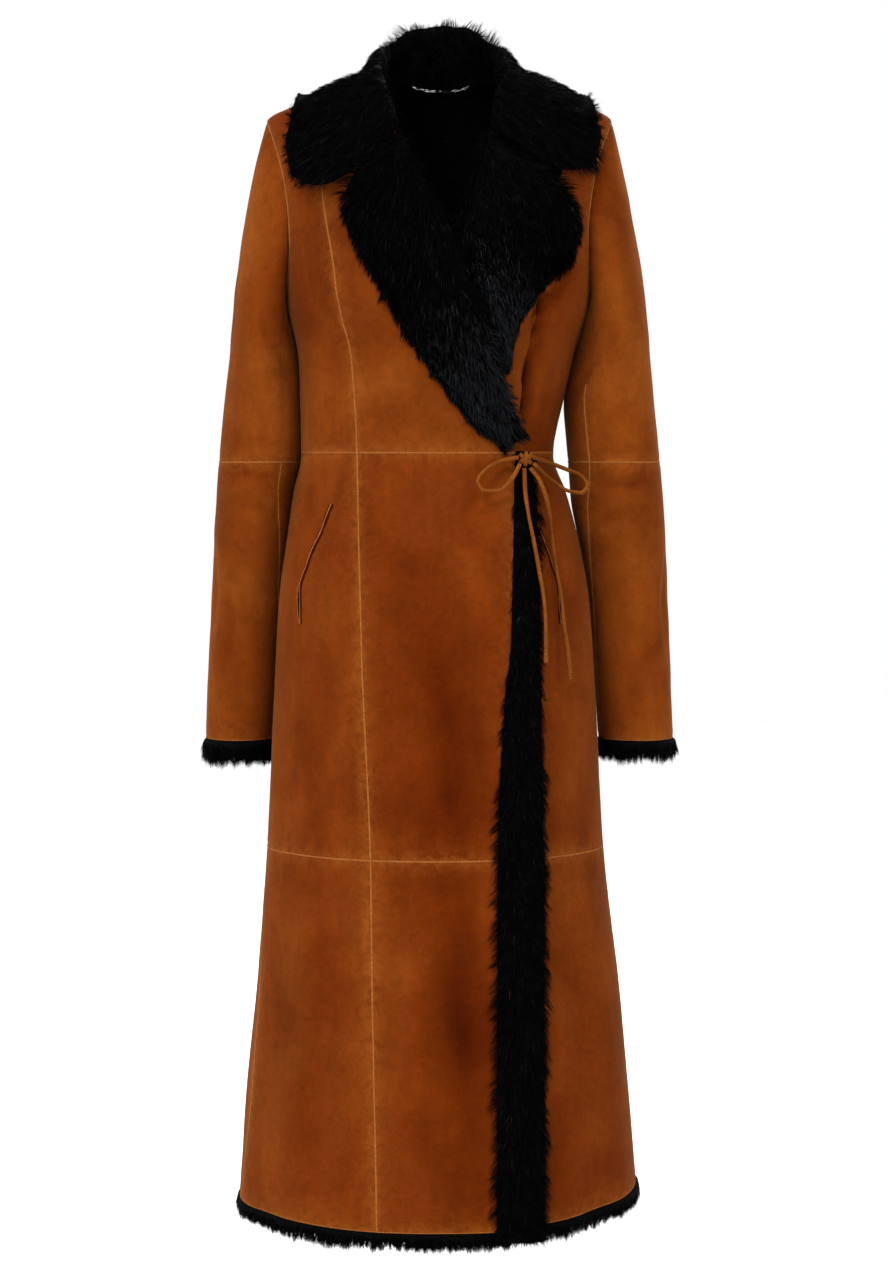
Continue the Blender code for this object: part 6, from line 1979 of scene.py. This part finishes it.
def collar_flow(drawn, normal):
    around = unit(np.roll(drawn, 1, axis=1) - np.roll(drawn, -1, axis=1))
    ends = np.linspace(-1, 1, len(drawn))[:, None, None]
    outward = unit(np.gradient(drawn, axis=0)) * np.sign(ends)
    way = around + outward * COLLAR_END_SPREAD * smoothstep(np.abs(ends), *COLLAR_END_SHARES)
    column = np.arange(drawn.shape[1]) / BASE_SUBDIVISIONS
    below_tip = smoothstep(COLLAR_TIP_COLUMN - column, 0.0, COLLAR_TIP_COLUMNS)[None, :, None]
    way = blend(way, normal * COLLAR_TIP_OUT - around * COLLAR_TIP_UP, below_tip)
    return unit(way + COLLAR_HANG)


def collar_lengths(row, column):
    from_middle = np.abs(2 * row - 1)
    share = 1
    for longer, place, reach in COLLAR_LENGTHS:
        share = share + longer * np.exp(-((from_middle - place) / reach) ** 2)
    return share + COLLAR_END_LONGER * smoothstep(from_middle, *COLLAR_LONGER_SHARES)


def collar(finishes):
    rings = np.concatenate([collar_half(-1)[::-1], collar_half(1)[1:]])
    long_pile("collar", rings, COLLAR_MASK, collar_flow, finishes, longer=collar_lengths, folded=True)


# ---------------------------------------------------------------- lapels

LAPEL_FINE_ROWS = 60
# The pile's mask after the underside: round the outer edge, over the top, and over the fold
LAPEL_EDGE_MASK, LAPEL_FOLD_MASK = [0.8, 1.9, 1.6, 1.1], {"right": [1, 0.8, 0.4, 0], "left": [0.8]}
# The strands' way, down the lapel and outwards, with what changes at its top edge and lower down
LAPEL_DOWN, LAPEL_TOP_UP = 0.95, 1.5
LAPEL_OUT, LAPEL_TOP_OUT, LAPEL_LOWER_IN = 0.60, 0.3, 0.30
LAPEL_TOP_SHARE, LAPEL_LOWER_SHARES = 0.10, (0.30, 0.65)
LAPEL_FOLD_IN, LAPEL_FOLD_COLUMNS = 0.95, (-0.4, 1.2)
# The strands' lengths: longer at the top edge, shorter lower down and most of all at the outer edge
LAPEL_TOP_LONGER, LAPEL_TOP_LONGER_SHARE = 0.35, 0.06
LAPEL_LOWER_SHORTER, LAPEL_EDGE_SHORTER = 0.15, 0.20
LAPEL_SHORTER_ROWS, LAPEL_EDGE_COLUMNS = (0.40, 0.70), (0.50, 0.60)
# How many strands catch the light, from where to where, and how few at the tip
LIT_SHARE, LIT_ROWS = 0.50, (0.42, 0.85)
UNLIT_SHARE, UNLIT_ROWS = 0.7, (0.92, 1.0)
# Thin pile on the left front under the collar's end, where collar and lapel are sewn together
TUCK_ROWS = 5
TUCK_FROM = {"fold_z": -0.0660, "inner_x": 0.0545, "edge_x": 0.1300, "edge_z": -0.1010}
TUCK_THICK = 0.0034


def lapel_rows(name):
    """The lapel's measures, row by row from the gorge down to its point."""
    fold_z = np.linspace(*LAPEL_ENDS[name], LAPEL_FINE_ROWS + 1)
    row = {key: curve(fold_z) for key, curve in LAPELS[name].items()}
    row["fold_z"] = fold_z
    if name == "right":
        row["inner_x"] = FRONT_EDGE["right_x"](fold_z)
        return row
    share = np.arange(TUCK_ROWS) / TUCK_ROWS
    tuck = {key: blend(start, row[key][0], share) for key, start in TUCK_FROM.items()}
    tuck["overhang"] = np.full(TUCK_ROWS, row["overhang"][0] / 2)
    tuck["pile"] = np.full(TUCK_ROWS, TUCK_THICK)
    return {key: np.concatenate([tuck[key], values]) for key, values in row.items()}


def lapel_rings(name, row):
    """Rows of closed sections: the underside, round the outer edge, back over the top and round the fold."""
    face = FACES[SIDES[name]]
    seat, profile = LAPEL_SEAT[name], np.array(LAPEL_HEIGHT[name])[:, None]
    across = np.array(LAPEL_ACROSS)
    rings = []
    for i, z in enumerate(row["fold_z"]):
        inner_angle = angle_at(row["inner_x"][i], z)
        edge_angle, edge_z = angle_at(row["edge_x"][i], row["edge_z"][i]), row["edge_z"][i]
        width = np.linalg.norm(face(edge_angle, edge_z) - face(inner_angle, z))
        thick = min(row["pile"][i], LAPEL_THICKEST * width + LAPEL_THIN)
        angle, height = blend(inner_angle, edge_angle, across), blend(z, edge_z, across)
        base, out = face(angle, height), normal_of(face, angle, height)
        under, top = base + out * seat, base + out * (seat + thick * profile)
        outward, roll = unit(under[-1] - under[-2]), unit(under[0] - under[1])
        tip = (under[-1] + top[-1]) / 2 + outward * thick * LAPEL_TIP_REACH
        fold = [
            under[0] + roll * (row["overhang"][i] * of_reach + LAPEL_GAP[name])
            + out[0] * (thick * of_thick + WALL * of_wall)
            for of_reach, of_thick, of_wall in LAPEL_ROLL[name]
        ]
        rings.append([*under, tip, *top[::-1], *fold])
    return np.array(rings)


def lapel(name, finishes):
    row = lapel_rows(name)
    rings = lapel_rings(name, row)
    across = len(LAPEL_ACROSS)
    mask = [0] * (across - 1) + LAPEL_EDGE_MASK + [1] * (across - 2) + LAPEL_FOLD_MASK[name]
    tucked = TUCK_ROWS if name == "left" else 0
    first = tucked / (len(rings) - 1)

    def flow_of(drawn, normal):
        down = unit(np.gradient(drawn, axis=0))
        outward = unit(drawn[:, across * BASE_SUBDIVISIONS - 2] - drawn[:, 0])[:, None]
        share = np.linspace(0, 1, len(drawn))[:, None, None]
        top_edge = 1 - smoothstep(share, first, first + LAPEL_TOP_SHARE)
        lower = smoothstep(share, *LAPEL_LOWER_SHARES)
        outwards = LAPEL_OUT + LAPEL_TOP_OUT * top_edge - LAPEL_LOWER_IN * lower
        way = down * (LAPEL_DOWN - LAPEL_TOP_UP * top_edge) + outward * outwards
        column = np.arange(drawn.shape[1]) / BASE_SUBDIVISIONS
        begins, full = [2 * across + beyond for beyond in LAPEL_FOLD_COLUMNS]
        return unit(way - outward * LAPEL_FOLD_IN * smoothstep(column, begins, full)[None, :, None])

    def lit(row, column):
        return LIT_SHARE * smoothstep(row, *LIT_ROWS) * (1 - UNLIT_SHARE * smoothstep(row, *UNLIT_ROWS))

    def longer(row, column):
        top_edge = 1 - smoothstep(row, first, first + LAPEL_TOP_LONGER_SHARE)
        at_edge = 1 - smoothstep(column, *LAPEL_EDGE_COLUMNS)
        shorter = LAPEL_LOWER_SHORTER + LAPEL_EDGE_SHORTER * at_edge
        return 1 + LAPEL_TOP_LONGER * top_edge - shorter * smoothstep(row, *LAPEL_SHORTER_ROWS)

    long_pile(f"lapel_{name}", rings, mask, flow_of, finishes, longer=longer, lit=lit, folded=True,
              rows_in=(np.arange(len(rings)) >= tucked)[:, None])


# ---------------------------------------------------------------- front edge, hem and cuffs

EDGE_BAND_FINE_ROWS = 200
EDGE_BAND_MASK = (0, 0, 0.8, 1, 1, 1, 1, 1, 1, 0.6)
EDGE_BAND_DENSITY = (0, 0.5, 1, 1, 1, 1, 1, 1, 0.7, 0.2)
# How far the strands lean outwards, at the top and further down, and inwards over the lip
EDGE_BAND_OUT, EDGE_BAND_OUT_SHARES, EDGE_BAND_OUT_FROM = (0.65, 0.40), (0.10, 0.30), 0.35
EDGE_BAND_IN, EDGE_BAND_IN_FROM = 1.10, 0.72
EDGE_BAND_LENGTH = 0.86
EDGE_BAND_LONGER, EDGE_BAND_LONGER_SHARES = 0.24, (0.35, 0.60)
EDGE_BAND_SHORTER, EDGE_BAND_SHORTER_SHARES = 0.35, (0.97, 1.0)
HEM_FINE_STEPS = 5
HEM_BASE_SHARE = 0.52  # how far down to the strands' tips the dense lower pile reaches
HEM_KEPT_DEPTH = 0.004  # down to here its section isn't shortened
HEM_LAP_FADE = 20  # degrees
HANGING_MASK = (0, 0, 0.4, 1, 1, 1, 1, 0.4)
HANGING_DENSITY = (0, 0.5, 1, 1, 1, 1, 0.6, 0.2)
HANGING_OUT = 0.06


def edge_band(finishes):
    heights = np.linspace(EDGE_BAND_TOP, HEM_Z - HEM_DEPTH * HEM_BASE_SHARE, EDGE_BAND_FINE_ROWS + 1)
    edge, way, out = edge_frame(heights)
    width, lip = EDGE_BAND["width"](heights), EDGE_BAND["lip"](heights)
    rings = np.stack([
        edge + way * (width * of_width + lip * of_lip + along)[:, None] + out * away
        for of_width, of_lip, along, away in EDGE_BAND_SECTION
    ], axis=1)

    def flow_of(drawn, normal):
        x = drawn[..., :1]
        low, high = x.min(axis=1, keepdims=True), x.max(axis=1, keepdims=True)
        share = (x - low) / (high - low)
        lower = smoothstep(np.linspace(0, 1, len(drawn)), *EDGE_BAND_OUT_SHARES)
        outwards = blend(*EDGE_BAND_OUT, lower)[:, None, None] * smoothstep(share, EDGE_BAND_OUT_FROM, 1.0)
        inwards = EDGE_BAND_IN * smoothstep(1 - share, EDGE_BAND_IN_FROM, 1.0)
        return unit(DOWN + way[:, None] * (outwards - inwards * (lip / EDGE_BAND_LIP)[:, None, None]))

    def longer(row, column):
        share = EDGE_BAND_LENGTH + EDGE_BAND_LONGER * smoothstep(row, *EDGE_BAND_LONGER_SHARES)
        return share - EDGE_BAND_SHORTER * smoothstep(row, *EDGE_BAND_SHORTER_SHARES)

    long_pile("front_edge_pile", rings, EDGE_BAND_MASK, flow_of, finishes,
              density=spread_mask(EDGE_BAND_DENSITY), longer=longer)


def hanging_flow(drawn, normal):
    return unit(DOWN + normal * (1, 1, 0) * HANGING_OUT)


def hanging_pile(node, base, normal, section, finishes, reach_out=None, reach_in=None, closed=False):
    """Pile below an edge. section: how far out and down for each corner; the reaches thin it by place."""
    ones = np.ones(len(base))
    reach_out, reach_in = [ones if reach is None else reach for reach in (reach_out, reach_in)]
    out = unit(normal * (1, 1, 0))
    rings = np.stack([
        base + out * (away * (reach_out if away > 0 else reach_in))[:, None] + (0, 0, -down)
        for away, down in section
    ], axis=1)
    long_pile(node, rings, HANGING_MASK, hanging_flow, finishes, closed=closed,
              density=spread_mask(HANGING_DENSITY))


def hanging_section(down_column):
    """The section of the dense lower pile, which ends above the strands' tips."""
    out, down = np.array(HANGING_SECTION)[:, [0, down_column]].T
    return out, np.where(down > HEM_KEPT_DEPTH, down * HEM_BASE_SHARE, down)


def finer(values):
    at = np.arange(0, len(values) - 1 + 0.5 / HEM_FINE_STEPS, 1 / HEM_FINE_STEPS)
    return np.interp(at, np.arange(len(values)), values)


def hem_piles(finishes):
    lines = skirt_lines(np.array([HEM_Z]))
    columns_at = {"back": grid_between(back_lines(lines), BACK_COLUMNS)}
    for name in SIDES:
        front = [lines[f"{name}_{line}"] for line in ("side", "princess", "edge")]
        columns_at[name] = grid_between(front, [SIDE_COLUMNS, CENTRE_COLUMNS])
    right = columns_at["right"][0][0]
    right[-1] = blend(right[-2], right[-1], HEM_LAST_SHARE)
    thins_out_over = right[-3], right[-2]
    section = list(zip(*hanging_section(1)))
    for name, face in (("right", lapped), ("left", body), ("back", body)):
        angle, z = [finer(values[0]) for values in columns_at[name]]
        reach_out = reach_in = None
        if name == "right":
            reach_out = 1 - smoothstep(angle, *thins_out_over)
            on_lap = smoothstep(angle, LAP_FROM_ANGLE - HEM_LAP_FADE, LAP_FROM_ANGLE)
            reach_in = 1 - HEM_THINNER_ON_LAP * on_lap
        if name == "left":
            reach_out = 1 - HEM_THINNER_UNDER_LAP * smoothstep(angle, *UNDER_LAP)
        if name == "back":
            angle[0] += HEM_END_GAP
            angle[-1] -= HEM_END_GAP
        hanging_pile(f"hem_pile_{name}", face(angle, z), normal_of(body, angle, z), section, finishes,
                     reach_out, reach_in)


def cuff_piles(finishes):
    z = np.array([CUFF_Z])
    top, under = [sleeve_turns(z, kind == "under", count)[0] for kind, count in SLEEVE_COLUMNS.items()]
    turn = np.concatenate([top, under[1:-1]])
    out, down = hanging_section(2)
    for name, side in SIDES.items():
        section = list(zip(out, down * CUFF_PILE_LENGTH[name]))
        base, normal = sleeve(side, turn, 2.0), sleeve_normal(side, turn, 2.0)
        hanging_pile(f"cuff_pile_{name}", base, normal, section, finishes, closed=True)


# ================================================================ pockets

WELT_FINE_POINTS = 90
WELT_UNEVEN, WELT_UNEVEN_SIZE = 0.2, 0.006
WELT_SEED, POCKET_SEAM_SEED = 31, 33
WELT_EASE_SHARE, WELT_END_SHARE = 0.06, 0.2
WELT_SECTION = (  # share of the way out from the slit, height above the skin
    (0.0, -0.0004),
    (1.0, -0.0004),
    (1.0, 0.0002),
    (0.45, WELT_SEAT + WELT_HEIGHT * 0.35),
    (0.12, WELT_SEAT + WELT_HEIGHT * 0.4),
    (0.0, WELT_SEAT),
)
SLIT_FROM, SLIT_WIDTH, SLIT_ROUNDNESS = 0.66, 0.0034, 0.7
POCKET_LINE_WIDTH = 0.0012
POCKET_LINE_SECTION = ((-0.5, 0.0002), (0.5, 0.0002), (0.5, 0.0016), (0, 0.0019), (-0.5, 0.0016))
MOUTH_TOP, MOUTH_THICK = 0.0012, 0.0008
MOUTH_NARROWEST = 0.0002


def pocket(name, side, cut_edge, suede, short):
    """A narrow welt along a slanted slit, whose lower end gapes, with its cut edge showing."""
    z = np.linspace(POCKET_TOP, POCKET_END, WELT_FINE_POINTS)
    face, angle = FACES[side], angle_at(POCKET[name + "_x"](z), z)
    place, out = face(angle, z), normal_of(face, angle, z)
    place = place + out * body_relief(place)[:, None]
    inwards = unit(np.cross(unit(np.gradient(place, axis=0)), out))
    inwards = inwards * np.sign(inwards[:, :1]) * -side
    share = np.linspace(0, 1, WELT_FINE_POINTS)
    bulge = np.sin(np.pi * np.clip((share - SLIT_FROM) / (1 - SLIT_FROM), 0, 1))
    gape = (SLIT_WIDTH / 2 * bulge ** SLIT_ROUNDNESS)[:, None]
    gaping = int(SLIT_FROM * WELT_FINE_POINTS)

    ease = np.clip(np.minimum(share, 1 - share) / WELT_EASE_SHARE, WELT_END_SHARE, 1)[:, None, None]
    uneven = 1 + WELT_UNEVEN * soft_noise(place, WELT_UNEVEN_SIZE, WELT_SEED)[:, None, None]
    share_out, high = np.array(WELT_SECTION).T
    across = blend(gape, WELT_WIDTH / 2, share_out[None])[..., None] * uneven
    for part, way, nodes in (("outer", -1, [f"pocket_welt_{name}"]), ("inner", 1, [])):
        rings = place[:, None] + inwards[:, None] * way * across + out[:, None] * high[None, :, None] * ease
        lip = mesh_object(f"pocket_lip_{part}_{name}", *loft(rings), [suede], sharp=CUT_SHARP)
        wear(lip, "suede", *nodes)

    parts = []
    for rows, way, width in (
        (slice(0, gaping + 2), 0, POCKET_LINE_WIDTH),
        (slice(gaping, None), -1, POCKET_LINE_WIDTH / 2),
        (slice(gaping, None), 1, POCKET_LINE_WIDTH / 2),
    ):
        section = np.array(POCKET_LINE_SECTION) * (width, 1)
        line = place + inwards * way * (gape + width / 2)
        parts.append(strip(line[rows], inwards[rows], out[rows], section, POCKET_SEAM_SEED))
    joined_piece(f"pocket_edges_{name}", parts, cut_edge, CUT_SHARP, "suede")

    line, upwards = place[gaping:], out[gaping:, None]
    aside = inwards[gaping:] * np.maximum(gape[gaping:], MOUTH_NARROWEST)
    mouth = np.stack([line - aside, line + aside], axis=1) + upwards * MOUTH_TOP
    below = mouth - upwards * MOUTH_THICK
    rings = np.concatenate([mouth, below[:, ::-1]], axis=1)
    wear(mesh_object(f"pocket_mouth_{name}", *loft(rings), [short]), "pile")


# ================================================================ the whole coat


def main():
    camera()
    lace(lace_material())
    lights()
    floor()
    suede, cut_edge, short = suede_material(), cut_edge_material(), short_pile_material()
    thread = thread_material()
    panels([suede, cut_edge, short])
    sleeves([suede, cut_edge, short])
    seams(cut_edge, thread)
    for name, side in SIDES.items():
        pocket(name, side, cut_edge, suede, short)
    pile = [short]
    for name, colour, roughness, shine in STRANDS:
        pile.append(Nodes(name).finished((*colour, 1), roughness, shine))
    collar(pile)
    for name in SIDES:
        lapel(name, pile)
    edge_band(pile)
    hem_piles(pile)
    cuff_piles(pile)
    hanger(steel_material())


main()
